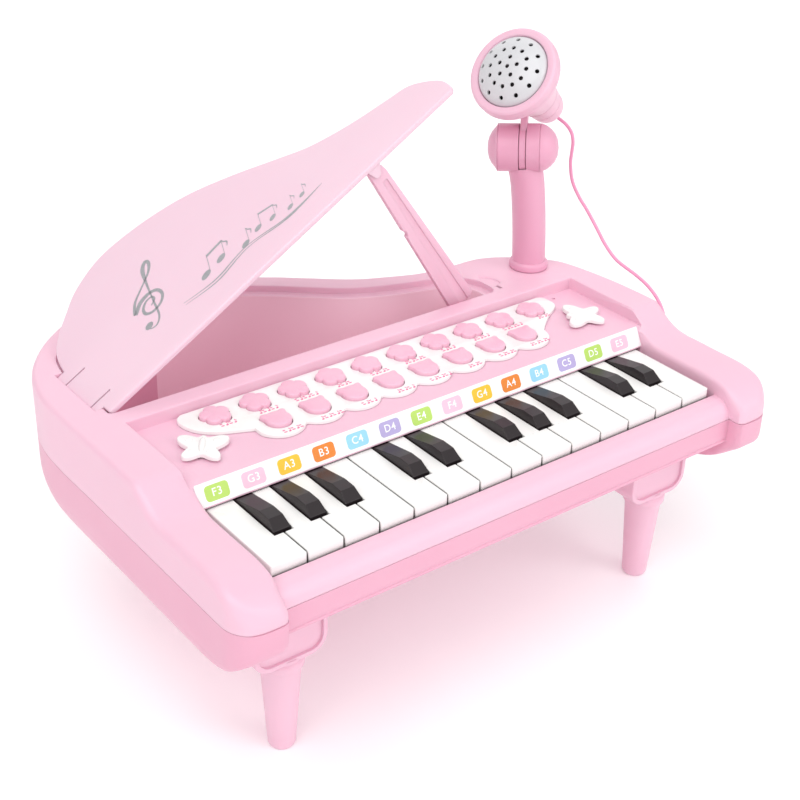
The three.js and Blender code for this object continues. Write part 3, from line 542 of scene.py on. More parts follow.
# ---- microphone lead --------------------------------------------------------------------------
LEAD_DIAMETER = 2.2
LEAD_ROUTE = [
    (177.0, 176.6, 254.0), (180.0, 177.4, 251.6), (183.0, 175.4, 248.2), (185.0, 169.4, 245.0),
    (185.5, 164.2, 240.8), (185.7, 162.3, 235.0), (185.6, 162.4, 229.0), (185.5, 162.6, 220.4),
    (185.8, 159.9, 209.3), (186.6, 153.3, 200.2), (187.4, 145.6, 193.2), (188.4, 137.0, 184.2),
    (189.5, 128.0, 174.4), (190.7, 117.6, 167.0), (192.6, 101.6, 162.2), (193.8, 90.4, 157.6),
    (194.8, 81.2, 150.2), (195.3, 75.2, 139.6), (195.4, 73.4, 127.6), (195.4, 75.4, 115.8),
    (195.6, 80.8, 106.0), (196.0, 88.6, 100.8), (196.6, 97.4, 100.6), (196.6, 105.0, 103.6),
    (194.0, 110.4, 106.8), (190.4, 112.0, 108.0), (186.9, 112.0, 108.0),
]


def make_lead():
    path = spline(LEAD_ROUTE, 260)
    section = arc((0, 0), LEAD_DIAMETER / 2, 0, 360, 16)[:-1]
    lead = swept("microphone_lead", path, section)
    lead.data.materials.append(SHEATH)
    lead.data.shade_smooth()
    lead.data.set_sharp_from_angle(angle=math.radians(50))
    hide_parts("mic_lead")
    points = metres(path)
    length = float(np.sum(np.linalg.norm(np.diff(points, axis=0), axis=1)))
    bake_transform(lead)
    return lead, points, length


make_camera()


# ---- casing -----------------------------------------------------------------------------------
GAP = 0.3
HALF_WIDTH = 187
FRONT_Y = -26
CORNER = 18
BOTTOM_Z = 80
PARTING_Z = 122.5
RIM_Z = 158.5
BAY_HALF = 158
RECESS_HALF = 160.5
RECESS_BACK_Y = 128.8
RECESS_Z = 150.6
STRIP_LOW = (59, 139.6)
STRIP_HIGH = (65, 150.6)
SPINE_INSET = 18                  # the rays that shape the casing start this far inside its outline
CASING_SIDE = [
    (-187, -8), (-187, 30), (-187, 70), (-187, 120), (-187, 158), (-185.5, 181), (-180, 202),
    (-169, 221.5), (-151, 241.5), (-126, 258.5), (-95, 268), (-62, 266.5), (-28, 256), (0, 241), (21, 225),
    (44, 207.5), (64, 198), (86, 190), (108, 188), (132, 186.5), (151, 176.5), (168, 160.5), (176, 146.5),
    (182, 112), (184, 76), (187, 44), (187, 20), (187, -8),
]
# The casing from the side: rim, slope down to the cheek, nose and underside.
SIDE_SLOPE = [(300, RIM_Z), (73, RIM_Z), (70.5, 156.9), (66, 153.4), (61.5, 150.2), (57, 147.7), (52, 146),
              (46, 145.1), (38, 145)]
SIDE_NOSE = [(24, 145), (4, 145), (-9, 142.6), (-19, 136.5), (-24.6, 129), (-26.3, 121), (-26.3, 114),
             (-25.4, 109), (-22.4, 104.6), (-16, 99.4), (-8, 93.8), (0, 89.6), (10, 86), (22, 83), (36, 80.7),
             (48, BOTTOM_Z), (56, BOTTOM_Z)]
SIDE_PROFILE = np.concatenate([SIDE_SLOPE, spline(SIDE_NOSE, 110), [(300, BOTTOM_Z)]])
CHEEK_ROLL = 2.4                  # how far the cheek's inner edge lies below its outer profile
NOSE_ROUND = 5                    # radius of the nose's inner front edge
RAIL_LOW_EDGE = (-13.6, 106.6)
RAIL_FOOT = (24, 79.5)
CHEEK_END = (44, 70)              # y over which the cheek's roll fades out
UNDERCUT = (106, 26, 13)          # where the side starts to curve in, over what height, and how far
SHELL_REACH = 75                  # longer than any ray from the spine to the surface

casing_outline = np.concatenate([
    arc((-HALF_WIDTH + CORNER, FRONT_Y + CORNER), CORNER, 180, 270, 8),
    arc((HALF_WIDTH - CORNER, FRONT_Y + CORNER), CORNER, 270, 360, 8),
    spline(CASING_SIDE[::-1], 200)[1:-1],
])


def depth_inside(y, z):
    """Distance inside the side profile."""
    points = np.stack([y.ravel(), z.ravel()], 1)
    best = np.full(len(points), 1e9)
    inside = np.zeros(len(points), bool)
    ends = np.roll(SIDE_PROFILE, -1, axis=0)
    for start, end in zip(SIDE_PROFILE, ends):
        edge = end - start
        share = np.clip(((points - start) @ edge) / (edge @ edge), 0, 1)
        best = np.minimum(best, np.linalg.norm(points - start - share[:, None] * edge, axis=1))
        crosses = (start[1] > points[:, 1]) != (end[1] > points[:, 1])
        if edge[1]:
            reach = start[0] + (points[:, 1] - start[1]) / edge[1] * edge[0]
            inside ^= crosses & (points[:, 0] < reach)
    return np.where(inside, best, -best).reshape(y.shape)


def smooth_step(value, low, high):
    share = np.clip((value - low) / (high - low), 0, 1)
    return share * share * (3 - 2 * share)


def meeting(first, second, radius):
    """Depth inside two surfaces that meet in a rounded edge."""
    rounded = radius - np.hypot(np.maximum(radius - first, 0), np.maximum(radius - second, 0))
    return np.where((first < radius) & (second < radius), rounded, np.minimum(first, second))


def casing_stations(arm_end):
    """Where the casing's sections stand: (x, y, direction x, direction y, kind), round the C-shaped plan."""
    edge = spline(CASING_SIDE, 250)
    along = np.gradient(edge, axis=0)
    along /= np.linalg.norm(along, axis=1, keepdims=True)
    outward = np.stack([-along[:, 1], along[:, 0]], 1)
    spine = edge - SPINE_INSET * outward
    outer = [(*spine[i], *outward[i], "outer") for i in range(len(edge))]
    left = [i for i in range(len(edge) // 2) if spine[i][1] <= arm_end]
    right = [i for i in range(len(edge) // 2, len(edge)) if spine[i][1] <= arm_end]
    fan = np.radians(np.arange(7.5, 180, 7.5))
    stations = [(*spine[i], 1, 0, "inner") for i in reversed(left)]
    stations += [(*spine[0], math.cos(turn), -math.sin(turn), "nose") for turn in fan]
    stations += outer
    stations += [(*spine[-1], math.cos(turn), -math.sin(turn), "nose") for turn in fan]
    stations += [(*spine[i], -1, 0, "inner") for i in reversed(right)]
    first_rear = len(left) + len(fan) + left[-1]
    last_rear = len(left) + len(fan) + right[0]
    return stations, first_rear, last_rear


def casing_shell(name, upward, arm_end):
    """One half of the casing as a solid: rays from an inner line find its rounded surface."""
    stations, first_rear, last_rear = casing_stations(arm_end)
    sign = 1 if upward else -1
    base_z = PARTING_Z + sign * GAP / 2
    if upward:
        angles = np.concatenate([np.linspace(0, 32, 6), np.linspace(35, 70, 20), [76, 83, 90]])
    else:
        angles = np.concatenate([np.linspace(0, 45, 8), np.linspace(49, 90, 17)])
    rise = np.radians(angles)[None, :]
    x0, y0, dx, dy = (np.array([s[k] for s in stations], float)[:, None] for k in range(4))
    kinds = np.array([s[4] for s in stations])[:, None]

    def depth(travel):
        out = travel * np.cos(rise)
        x, y = x0 + dx * out, y0 + dy * out
        z = base_z + sign * travel * np.sin(rise)
        across = np.clip((HALF_WIDTH - np.abs(x)) / (HALF_WIDTH - BAY_HALF), 0, 1)
        roll = CHEEK_ROLL * across ** 2.2 * (1 - smooth_step(y, *CHEEK_END)) * smooth_step(z, 126, 138)
        roll = np.where((np.abs(x) > BAY_HALF - 4) & (y < CHEEK_END[1]), roll, 0)
        profile = depth_inside(y, z) - roll
        curve_top, curve_height, curve_depth = UNDERCUT
        lean = np.clip((curve_top - z) / curve_height, 0, 1)
        undercut = curve_depth * (1 - np.sqrt(np.maximum(1 - lean ** 2, 0)))
        corner_x, corner_y = HALF_WIDTH - CORNER, FRONT_Y + CORNER
        past_x, past_y = np.abs(x) - corner_x, corner_y - y
        corner = np.where((past_x > 0) & (past_y > 0), CORNER - np.hypot(past_x, past_y),
                          np.minimum(HALF_WIDTH - np.abs(x), y - FRONT_Y))
        side = np.where(kinds == "outer", SPINE_INSET - out, np.where(kinds == "nose", corner, 60)) - undercut
        inner = np.where(kinds == "outer", 60, np.abs(x) - BAY_HALF)
        crease = 3 + (2.2 * (1 - smooth_step(y, 55, 85)) if upward else 0)
        inner_edge = 1.6 + (NOSE_ROUND - 1.6) * (1 - smooth_step(y, -17, -8))
        return meeting(meeting(side, profile, crease), inner, inner_edge)

    low = np.zeros((len(stations), len(angles)))
    high = np.full_like(low, float(SHELL_REACH))
    for _ in range(26):
        middle = (low + high) / 2
        solid = depth(middle) > 0
        low, high = np.where(solid, middle, low), np.where(solid, high, middle)
    out = low * np.cos(rise)
    points = np.stack([x0 + dx * out, y0 + dy * out, base_z + sign * low * np.sin(rise)], 2)

    columns, rows = points.shape[:2]
    index = np.arange(columns * rows).reshape(columns, rows)
    faces = [(index[i, j], index[i + 1, j], index[i + 1, j + 1], index[i, j + 1])
             for i in range(columns - 1) for j in range(rows - 1)]
    face_z = points[(first_rear + last_rear) // 2, -1, 2]

    def level_rows(column):
        return [j for j in range(rows - 1, -1, -1) if abs(points[column, j, 2] - face_z) < 0.02]

    right_flat, left_flat = level_rows(columns - 1), level_rows(0)
    faces.append(tuple([index[i, -1] for i in range(first_rear, last_rear + 1)]
                       + [index[-1, j] for j in right_flat[1:]] + [index[0, j] for j in left_flat[:0:-1]]))
    faces.append(tuple([index[-1, j] for j in range(right_flat[-1], -1, -1)]
                       + [index[0, j] for j in range(0, left_flat[-1] + 1)]))
    faces.append(tuple(index[i, 0] for i in range(columns)))
    return tidy_mesh(mesh_of(name, points.reshape(-1, 3), faces), merge=0.02)


# ---- controls and lid: outlines ---------------------------------------------------------------
BUTTON_PITCH = 25.35
UPPER_ROW = {"count": 10, "x": -114.1, "y": 115.1}
LOWER_ROW = {"count": 8, "x": -88.7, "y": 91.7}
BUTTERFLIES = {"left": (-137, 90.5, -35), "right": (137, 90.5, 60)}      # x, y, turn of the head from +Y
PANEL_Z = RECESS_Z + GAP
PANEL_THICK = 2.2
BUTTON_TOP_Z = 156

LID_HINGE = (-163, 155.4)
LID_ANGLE = math.radians(31.1)
LID_THICK = 3.6
LID_LOW_Z = 155
LEDGE_Z = 154.5
LEDGE_WIDTH = 5
FINGER_SLOT = (111.9, 114.1, 141.8, 147.8)
HINGE_Y = (149.2, 196.2)
HINGE_EDGE = 3.9                  # how far the lid reaches past its hinge
HINGE_SLOTS = (156.1, 185.9)
WELL_FRONT_Y = 141.4
WELL_FLOOR_Z = 87.6
LID_EDGE = [
    (104.6, 142.2), (107, 145), (107.5, 157), (97, 172), (82, 177), (64, 182), (48.5, 187.5), (31, 196),
    (16, 207.5), (-8.5, 227), (-31.5, 242), (-54, 251), (-78, 256), (-99, 256), (-120.5, 248),
    (-135, 237), (-148.5, 225), (-157, 213), (-161.4, 196), (-161.4, 185),
]
lid_outline = np.concatenate([[(-161.4, 143)], [(-160.6, 142.2)], spline(LID_EDGE, 120)])

POST_BASE = Vector((150, 157.7, RIM_Z))
KNUCKLE = Vector((143.2, 163.3, 239.6))
KNUCKLE_AXIS = Vector((0.709, -0.703, 0.06)).normalized()
MIC_FACE = Vector((130.5, 164.5, 290.5))
MIC_AXIS = Vector((-0.77, -0.2, 0.605)).normalized()
LEAD_SOCKET = Vector((186.6, 112, 108))
LEG_PLACES = {"front_left_leg": (-134.6, 22.5), "front_right_leg": (134.6, 22.5), "rear_leg": (-52, 214)}
SCREW_PLACES = [(-150, 50), (150, 50), (150, 130), (-150, 150), (-100, 232), (40, 180)]
DEEP_SCREWS = 3                   # the others lie under the well, where there is less height
SPEAKER = (98, 106)
BATTERY_BOX = (-34, 34, 84, 132)


def polar(radius_at, count, grow=0.0):
    angles = np.arange(count) / count * 2 * math.pi
    radius = np.array([radius_at(a) for a in angles]) + grow
    return np.stack([radius * np.cos(angles), radius * np.sin(angles)], 1)


def placed(outline, x, y, turn=0.0):
    c, s = math.cos(turn), math.sin(turn)
    return np.array(outline) @ np.array([[c, s], [-s, c]]) + (x, y)


def bump_at(angle, place, width, size):
    away = math.atan2(math.sin(angle - place), math.cos(angle - place))
    return size * math.exp(-((away / width) ** 2))


def petals(angle):
    """Five round petals with narrow notches between them."""
    return 7.0 + 1.9 * abs(math.cos(2.5 * (angle - math.pi / 2))) ** 0.7


def eared_head(angle):
    """A round head with two round ears."""
    return 7.4 + bump_at(angle, math.radians(43), 0.26, 3) + bump_at(angle, math.radians(137), 0.26, 3)


# The butterfly's wings and head: direction in degrees, width and height.
WINGS = ((38, 0.5, 10.4), (142, 0.5, 10.4), (-48, 0.44, 7.8), (228, 0.44, 7.8), (90, 0.24, 4.2))


def butterfly(angle):
    """Two broad front wings, two small rear wings and a round head at +Y."""
    return 6.3 + sum(bump_at(angle, math.radians(place), width, size) for place, width, size in WINGS)


def button_places():
    """Name, x, y and outline of every sound button."""
    rows = [(UPPER_ROW, petals), (LOWER_ROW, eared_head)]
    places = [(row["x"] + i * BUTTON_PITCH, row["y"], form)
              for row, form in rows for i in range(row["count"])]
    return [(f"sound_button_{i + 1}", x, y, form) for i, (x, y, form) in enumerate(places)]


def panel_outline():
    """The white panel: round ends and a front edge with one scallop for each button in the lower row."""
    first = LOWER_ROW["x"]
    last = first + (LOWER_ROW["count"] - 1) * BUTTON_PITCH
    left_end = spline([(-129, 127.3), (-133, 124), (-133.4, 117), (-130, 108.5), (-122, 101), (-111, 96),
                       (-103, 92.5)], 28)
    scallops = [arc((first + i * BUTTON_PITCH, 92), 15.2, 218 if i else 200, 322 if i < 7 else 338, 14)
                for i in range(LOWER_ROW["count"])]
    right_end = spline([(last + 15.5, 91), (last + 22, 97), (last + 32, 104.5), (132.6, 112), (134.4, 119.5),
                        (133.6, 125), (130, 127.3)], 28)
    return np.concatenate([left_end, *scallops, right_end])


# ---- casing halves ----------------------------------------------------------------------------
WELL_CORNER = 3
WELL_WALL = 2.4
LID_MARGIN = 1.2
HINGE_SWING = 1.4                 # room at the hinge for the lid's edge as it turns
UPPER_ARM_END = 126
LOWER_ARM_END = 62
RAIL_NOSE = [(-6.2, 133), (-9.5, 132), (-12.3, 129.6), (-14.2, 126.4), (-15, PARTING_Z + GAP / 2)]
UNDER_DECK = [(40, 118), (40, 139.1), (60.6, 139.1), (66.6, 148.2), (125, 148.2), (125, 118)]
UNDER_DECK_HALF = 157
FINGER_HOLLOW = [(109.5, 143.6), (120, 147), (122.6, 154), (119, 163), (112, 166.4), (107.6, 160), (107, 150),
                 (109.5, 143.6)]
FINGER_ROUND = 3.2
FINGER_DEPTH = 1.5
LAMP_HOLE = (141.9, 123.4, 1.1)   # x, y and radius


def well_outline():
    inner = offset(lid_outline, -LEDGE_WIDTH)
    back = np.array([p for p in inner if p[1] > 150])
    corner_y = WELL_FRONT_Y + WELL_CORNER
    start = arc((back[0][0] - WELL_CORNER, corner_y), WELL_CORNER, -90, 0, 5)
    end = arc((back[-1][0] + WELL_CORNER, corner_y), WELL_CORNER, 180, 270, 5)
    return np.concatenate([start, back, end])


def hinge_pocket():
    front, back = HINGE_Y
    outline = rounded_rectangle(LID_HINGE[0] - HINGE_EDGE - 1.6, LID_HINGE[0] + 5, front - 0.8, back + 0.8,
                                0.9, 4)
    return flared_cutter(outline, 151.5, RIM_Z, 0.4)


def finger_recess():
    """A shallow dished hollow in the rim beside the prop."""
    outline = spline(FINGER_HOLLOW, 40)[:-1]
    rings = [at_height(offset(outline, -FINGER_ROUND), RIM_Z - FINGER_DEPTH)]
    for turn in np.linspace(0, math.pi / 2, 5)[1:]:
        level = RIM_Z - FINGER_DEPTH * (1 - math.sin(turn)) + 0.01
        rings.append(at_height(offset(outline, -FINGER_ROUND * math.cos(turn)), level))
    rings.append(at_height(offset(outline, 0.4), RIM_Z + 4))
    return loft("cutter", rings)


def holds(outline, place):
    """Whether a place lies inside an outline, seen from above."""
    inside = False
    for (x0, y0, _), (x1, y1, _) in zip(outline, np.roll(outline, -1, axis=0)):
        if (y0 > place.y) != (y1 > place.y) and place.x < x0 + (place.y - y0) / (y1 - y0) * (x1 - x0):
            inside = not inside
    return inside


def paint_well_light(shell, well):
    """Paints the well's inner faces a paler pink: painted light, brightening the well where the lid shades
    it.
    """
    shell.data.materials.append(WELL_PINK_PAINTED_LIGHT)
    room = metres(at_height(offset(well, 0.3), LEDGE_Z - 0.2))
    for face in shell.data.polygons:
        if (WELL_FLOOR_Z - 0.1) * MM < face.center.z < room[0][2] and holds(room, face.center):
            face.material_index = 1


def make_upper_casing():
    shell = casing_shell("upper_casing_moulding", True, UPPER_ARM_END)
    front_z, back_z = PARTING_Z + GAP / 2, RECESS_Z + 0.9
    slope = (STRIP_HIGH[0] - STRIP_LOW[0]) / (STRIP_HIGH[1] - STRIP_LOW[1])
    deck_end = STRIP_HIGH[0] + slope * (back_z - STRIP_HIGH[1])
    deck = along_x("deck", [(STRIP_LOW[0], front_z), (130, front_z), (130, back_z), (deck_end, back_z),
                            STRIP_LOW], -RECESS_HALF - 1, RECESS_HALF + 1)
    rail_back = [(-1, front_z)] + list(arc((-2, 132), 1, 0, 90, 4))
    rail = along_x("rail", np.concatenate([rail_back, spline(RAIL_NOSE, 12)]), -BAY_HALF - 2, BAY_HALF + 2)
    well = well_outline()
    tub = slab("tub", offset(well, WELL_WALL), WELL_FLOOR_Z - WELL_WALL, LEDGE_Z + 0.6, bottom_round=2)
    join(shell, deck, rail, tub)

    under_deck = along_x("cutter", UNDER_DECK, -UNDER_DECK_HALF, UNDER_DECK_HALF)
    recess = flared_cutter(rounded_rectangle(-RECESS_HALF, RECESS_HALF, 63.4, RECESS_BACK_Y, 1.2), RECESS_Z,
                           RIM_Z, 1.0)
    rebate = flared_cutter(offset(lid_outline, LID_MARGIN), LEDGE_Z, RIM_Z, 0.7)
    swing_room = slab("cutter", placed(offset(lid_outline, LID_MARGIN), -HINGE_SWING, 0), LEDGE_Z, 200)
    cut(shell, under_deck, recess, rebate, swing_room, flared_cutter(well, WELL_FLOOR_Z, LEDGE_Z, 0.7))
    cut(shell, hinge_pocket(), finger_recess(), block(*FINGER_SLOT, 150, 170))
    cut(shell, rod((*POST_BASE.xy, RIM_Z - 10), (*POST_BASE.xy, RIM_Z + 20), 7.6))
    cut(shell, slab("cutter", circle(*LAMP_HOLE, 16), RECESS_Z - 1.6, RIM_Z))
    holes = [slab("cutter", placed(polar(form, 60, 0.9), x, y), 140, 160)
             for _, x, y, form in button_places()]
    holes += [rod((x, y, 140), (x, y, 160), 6) for x, y, _ in BUTTERFLIES.values()]
    cut(shell, gathered("cutter", holes))
    low_x, high_x, low_y, high_y = FINGER_SLOT
    # Painted shade: a dark block inside the finger slot, where only shade falls.
    shade = block(low_x + 0.05, high_x - 0.05, low_y + 0.05, high_y - 0.05, 150.1, RIM_Z - 1.9)
    shade.name = "finger_slot_painted_shade"
    finished(shade, DARK_FOAM_AND_SHADE, "casing")
    finished(shell, PINK, "casing", "upper_casing")
    paint_well_light(shell, well)


SCREW_DEPTHS = [18 if i < DEEP_SCREWS else 3.4 for i in range(len(SCREW_PLACES))]
BOSS_TOPS = [112 if i < DEEP_SCREWS else 84.6 for i in range(len(SCREW_PLACES))]
SPIGOT_RADIUS = 8
SOCKET_RADIUS = 10.6
SOCKET_COVER = 1.4
RAIL_FACE = [(-15, 110.2), (-14.6, 108.8), (-15.2, 108.2), (-15.1, 107.3), (-14.3, 106.6), RAIL_LOW_EDGE]
RAIL_INSIDE = [(-11, 140), (-11, 109)]
SPEAKER_HOLES = ((0, 1), (8, 6), (16, 12), (22, 18))      # radius and count of each ring
COVER_SCREW = (0, 127)


def spigot_height(y):
    """The front legs stand where the underside slopes, so their spigots reach further in."""
    return 9 if y < 50 else 3.4


def make_lower_casing():
    shell = casing_shell("lower_casing_moulding", False, LOWER_ARM_END)
    top = PARTING_Z - GAP / 2
    foot_y = RAIL_FOOT[0] - 1
    rail_end = LOWER_ARM_END + 4
    rail_profile = [(rail_end, top), (-15, top), *RAIL_FACE, (foot_y, BOTTOM_Z), (rail_end, BOTTOM_Z)]
    join(shell, along_x("rail", rail_profile, -BAY_HALF - 2, BAY_HALF + 2))
    inside = np.array([p for p in offset(casing_outline, -17.5) if p[1] > 17])
    inside = np.concatenate([[(-HALF_WIDTH + 18, 17), (HALF_WIDTH - 18, 17)], inside])
    under = along_x("cutter", [*RAIL_INSIDE, (27, 82), (27, 70), (-40, 70), (-40, 140)], -200, 200)
    hollow = slab("cutter", inside, BOTTOM_Z + 3, 140)
    cut(hollow, under)
    front = along_x("cutter", [*RAIL_INSIDE, (24.2, 84), (30, 84), (30, 140)], 4 - BAY_HALF, BAY_HALF - 4)
    cut(shell, hollow, front)
    low_x, high_x, low_y, high_y = BATTERY_BOX
    holder = block(low_x - 2, high_x + 2, low_y - 2, high_y + 2, BOTTOM_Z + 1, 102)
    bosses = [rod((x, y, BOTTOM_Z + 1), (x, y, top_z), 6) for (x, y), top_z in zip(SCREW_PLACES, BOSS_TOPS)]
    feet = [(x, y, BOTTOM_Z + spigot_height(y)) for x, y in LEG_PLACES.values()]
    sockets = gathered("sockets", [rod((x, y, BOTTOM_Z + 1), (x, y, z + SOCKET_COVER), SOCKET_RADIUS)
                                   for x, y, z in feet])
    cut(sockets, along_x("cutter", [RAIL_LOW_EDGE, (foot_y, BOTTOM_Z), (foot_y, 60), (RAIL_LOW_EDGE[0], 60)],
                         -BAY_HALF, BAY_HALF))
    boss = turned("boss", [(0, 0), (4.5, 0), (4.5, 7.6), (3.7, 8.6), (0, 8.6)], 32,
                  stand_on((178, LEAD_SOCKET.y, LEAD_SOCKET.z), (1, 0, 0)))
    join(shell, holder, *bosses, sockets, boss)
    cut(shell, slab("cutter", rounded_rectangle(low_x, high_x, low_y, high_y, 2), 60, 100))
    cut(shell, *[rod((x, y, 60), (x, y, z + GAP), SPIGOT_RADIUS + GAP) for x, y, z in feet])
    cut(shell, *[turned("cutter", [(0, -10), (4.6, -10), (4.6, 0), (3.8, 0.8), (3.8, depth), (0, depth)], 28,
                        stand_on((x, y, BOTTOM_Z), (0, 0, 1)))
                 for (x, y), depth in zip(SCREW_PLACES, SCREW_DEPTHS)])
    grille = []
    for radius, count in SPEAKER_HOLES:
        for i in range(count):
            turn = 2 * math.pi * i / count
            x, y = SPEAKER[0] + radius * math.cos(turn), SPEAKER[1] + radius * math.sin(turn)
            grille.append(rod((x, y, 70), (x, y, 85), 1.6, 12))
    cut(shell, gathered("cutter", grille))
    cut(shell, rod((170, LEAD_SOCKET.y, LEAD_SOCKET.z), (190, LEAD_SOCKET.y, LEAD_SOCKET.z), 1.4, 20))
    return finished(shell, LOWER_PINK_PAINTED_SHADE, "casing", "lower_casing")


def make_battery_cover():
    low_x, high_x, low_y, high_y = BATTERY_BOX
    outline = rounded_rectangle(low_x + GAP, high_x - GAP, low_y + GAP, high_y - GAP, 1.8)
    cover = slab("battery_cover_moulding", outline, BOTTOM_Z + 0.2, BOTTOM_Z + 2.4, bottom_round=0.5)
    grips = [slab("rib", rounded_rectangle(-9, 9, 88 + i * 2.6, 89.2 + i * 2.6, 0.5, 3), BOTTOM_Z - 0.35,
                  BOTTOM_Z + 1, bottom_round=0.35) for i in range(5)]
    join(cover, *grips)
    cut(cover, rod((*COVER_SCREW, 70), (*COVER_SCREW, BOTTOM_Z + 1.4), 3.6))
    return finished(cover, PINK, "casing", "battery_cover")


def make_screws():
    """Cross-headed screws at the bottom of their wells, and the battery cover's screw."""
    screws = []
    places = [(x, y, BOTTOM_Z + depth - 0.9) for (x, y), depth in zip(SCREW_PLACES, SCREW_DEPTHS)]
    places.append((*COVER_SCREW, BOTTOM_Z + 1.2))
    profile = [(0, -1.9), (1.2, -1.8), (2.4, -1.3), (2.9, -0.5), (2.9, 0), (1.2, 0), (1.2, 1), (0, 1)]
    for x, y, z in places:
        head = turned("screw", profile, 24, stand_on((x, y, z), (0, 0, 1)))
        cut(head, *[block(x - long, x + long, y - wide, y + wide, z - 4, z - 1)
                    for long, wide in ((1.7, 0.35), (0.35, 1.7))])
        screws.append(head)
    return finished(gathered("casing_screws", screws), STEEL, "casing")


# ---- legs -------------------------------------------------------------------------------------
BRACKET = {"half_width": 22.8, "half_depth": 11, "low": 61.5, "corner": 11, "rim": 3, "recess": 1.6}
FOOT_PROFILE = [(0, 0), (5.9, 0), (6.5, 0.3), (7.2, 1.1), (7.7, 2.4), (9.5, 30), (11.1, 54.6), (11.5, 55.6),
                (12.5, 56.1), (12.9, 56.9), (12.9, 60.2), (12.5, 61), (11.8, 61.6), (11.6, 63.5), (0, 63.5)]
# The casing's underside from the side, and everything above it.
ABOVE_UNDERSIDE = [(-60, 200), (-60, RAIL_LOW_EDGE[1] + 33), (RAIL_LOW_EDGE[0], RAIL_LOW_EDGE[1] - 0.5),
                   (RAIL_FOOT[0], RAIL_FOOT[1] - 0.5), (RAIL_FOOT[0] + 0.1, BOTTOM_Z - GAP),
                   (300, BOTTOM_Z - GAP), (300, 200)]


def bracket_front(x, inset, top):
    """A bracket from the front: upright sides and a flat bottom with round corners."""
    corner, half = BRACKET["corner"], BRACKET["half_width"]
    centre, level = half - corner, BRACKET["low"] + corner
    left = arc((x - centre, level), corner - inset, 180, 270, 12)
    right = arc((x + centre, level), corner - inset, 270, 360, 12)
    return np.concatenate([[(x - half + inset, top)], left, right, [(x + half - inset, top)]])


def make_leg(name, x, y):
    """A tapering foot with a collar, under a bracket with recessed faces."""
    foot = turned(f"{name}_moulding", FOOT_PROFILE, 56, stand_on((x, y, 0), (0, 0, 1)))
    depth = BRACKET["half_depth"]
    recess = depth - BRACKET["recess"]
    bracket = along_y("bracket", bracket_front(x, 0, 118), y - depth, y + depth)
    bevelled(bracket, 0.9, 3)
    for low, high in ((y - depth - 1, y - recess), (y + recess, y + depth + 1)):
        cut(bracket, along_y("cutter", bracket_front(x, BRACKET["rim"], 130), low, high))
    cut(bracket, along_x("cutter", ABOVE_UNDERSIDE, -HALF_WIDTH, HALF_WIDTH))
    join(foot, bracket, rod((x, y, 64), (x, y, BOTTOM_Z + spigot_height(y) - GAP), SPIGOT_RADIUS, 32))
    return finished(foot, PINK, "casing", name, smooth=28)


# ---- keyboard ---------------------------------------------------------------------------------
KEY_PITCH = 22
WHITE_KEYS = 14
WHITE_WIDTH = 21.2
WHITE_TOP_Z = 138.2
WHITE_THICK = 6
BLACK_PLACES = (1, 2, 3, 5, 6, 8, 9, 10, 12, 13)
BLACK_WIDTH = 10.4
BLACK_TOP_WIDTH = 8.4
BLACK_TOP_Z = 143.2
BLACK_BACK_Z = 139                # top of a black key where it goes under the note strip
KEY_HINGE = (73.4, 134.6)
KEY_BARREL = 2.3
KEY_END_Y = KEY_HINGE[0] - 1
NOTCH_Y = 21
KEY_CORNER = 1.1
LIP_LOW_Z = 128.4                 # bottom of a white key's front lip
BLACK_FRONT_Y = 23                # foot of a black key's front face
BLACK_EDGE_Y = 28.6               # top of its front face
BLACK_BREAK_Y = 37                # where its top starts to slope down to the back
BLACK_END_Y = 57.8


def key_bead(x, width):
    return rod((x - width / 2, *KEY_HINGE), (x + width / 2, *KEY_HINGE), KEY_BARREL, 20)


def make_white_key(number):
    """A plate with a rounded front edge and a lip, notched where black keys pass."""
    x = (number - 1 - (WHITE_KEYS - 1) / 2) * KEY_PITCH
    half = WHITE_WIDTH / 2
    notch = BLACK_WIDTH / 2 + 0.5 - (KEY_PITCH - WHITE_WIDTH) / 2
    left = notch if number - 1 in BLACK_PLACES else 0
    right = notch if number in BLACK_PLACES else 0
    front = np.concatenate([arc((x - half + KEY_CORNER, KEY_CORNER), KEY_CORNER, 180, 270, 4),
                            arc((x + half - KEY_CORNER, KEY_CORNER), KEY_CORNER, 270, 360, 4)])
    sides = []
    if right:
        sides += [(x + half, NOTCH_Y - 0.4), (x + half - 0.4, NOTCH_Y), (x + half - right, NOTCH_Y)]
    sides += [(x + half - right, KEY_END_Y), (x - half + left, KEY_END_Y)]
    if left:
        sides += [(x - half + left, NOTCH_Y), (x - half + 0.4, NOTCH_Y), (x - half, NOTCH_Y - 0.4)]
    outline = np.concatenate([front, sides])
    key = slab(f"white_key_{number}_moulding", outline, WHITE_TOP_Z - WHITE_THICK, WHITE_TOP_Z, top_round=0.7)
    lip = slab("lip", np.concatenate([front, [(x + half, 2.2), (x - half, 2.2)]]), LIP_LOW_Z,
               WHITE_TOP_Z - 1.5, bottom_round=0.3)
    join(key, lip, key_bead(x + (left - right) / 2, WHITE_WIDTH - left - right))
    return finished(key, KEY_WHITE_GAP_SHADE, f"white_key_{number}", f"white_key_{number}")


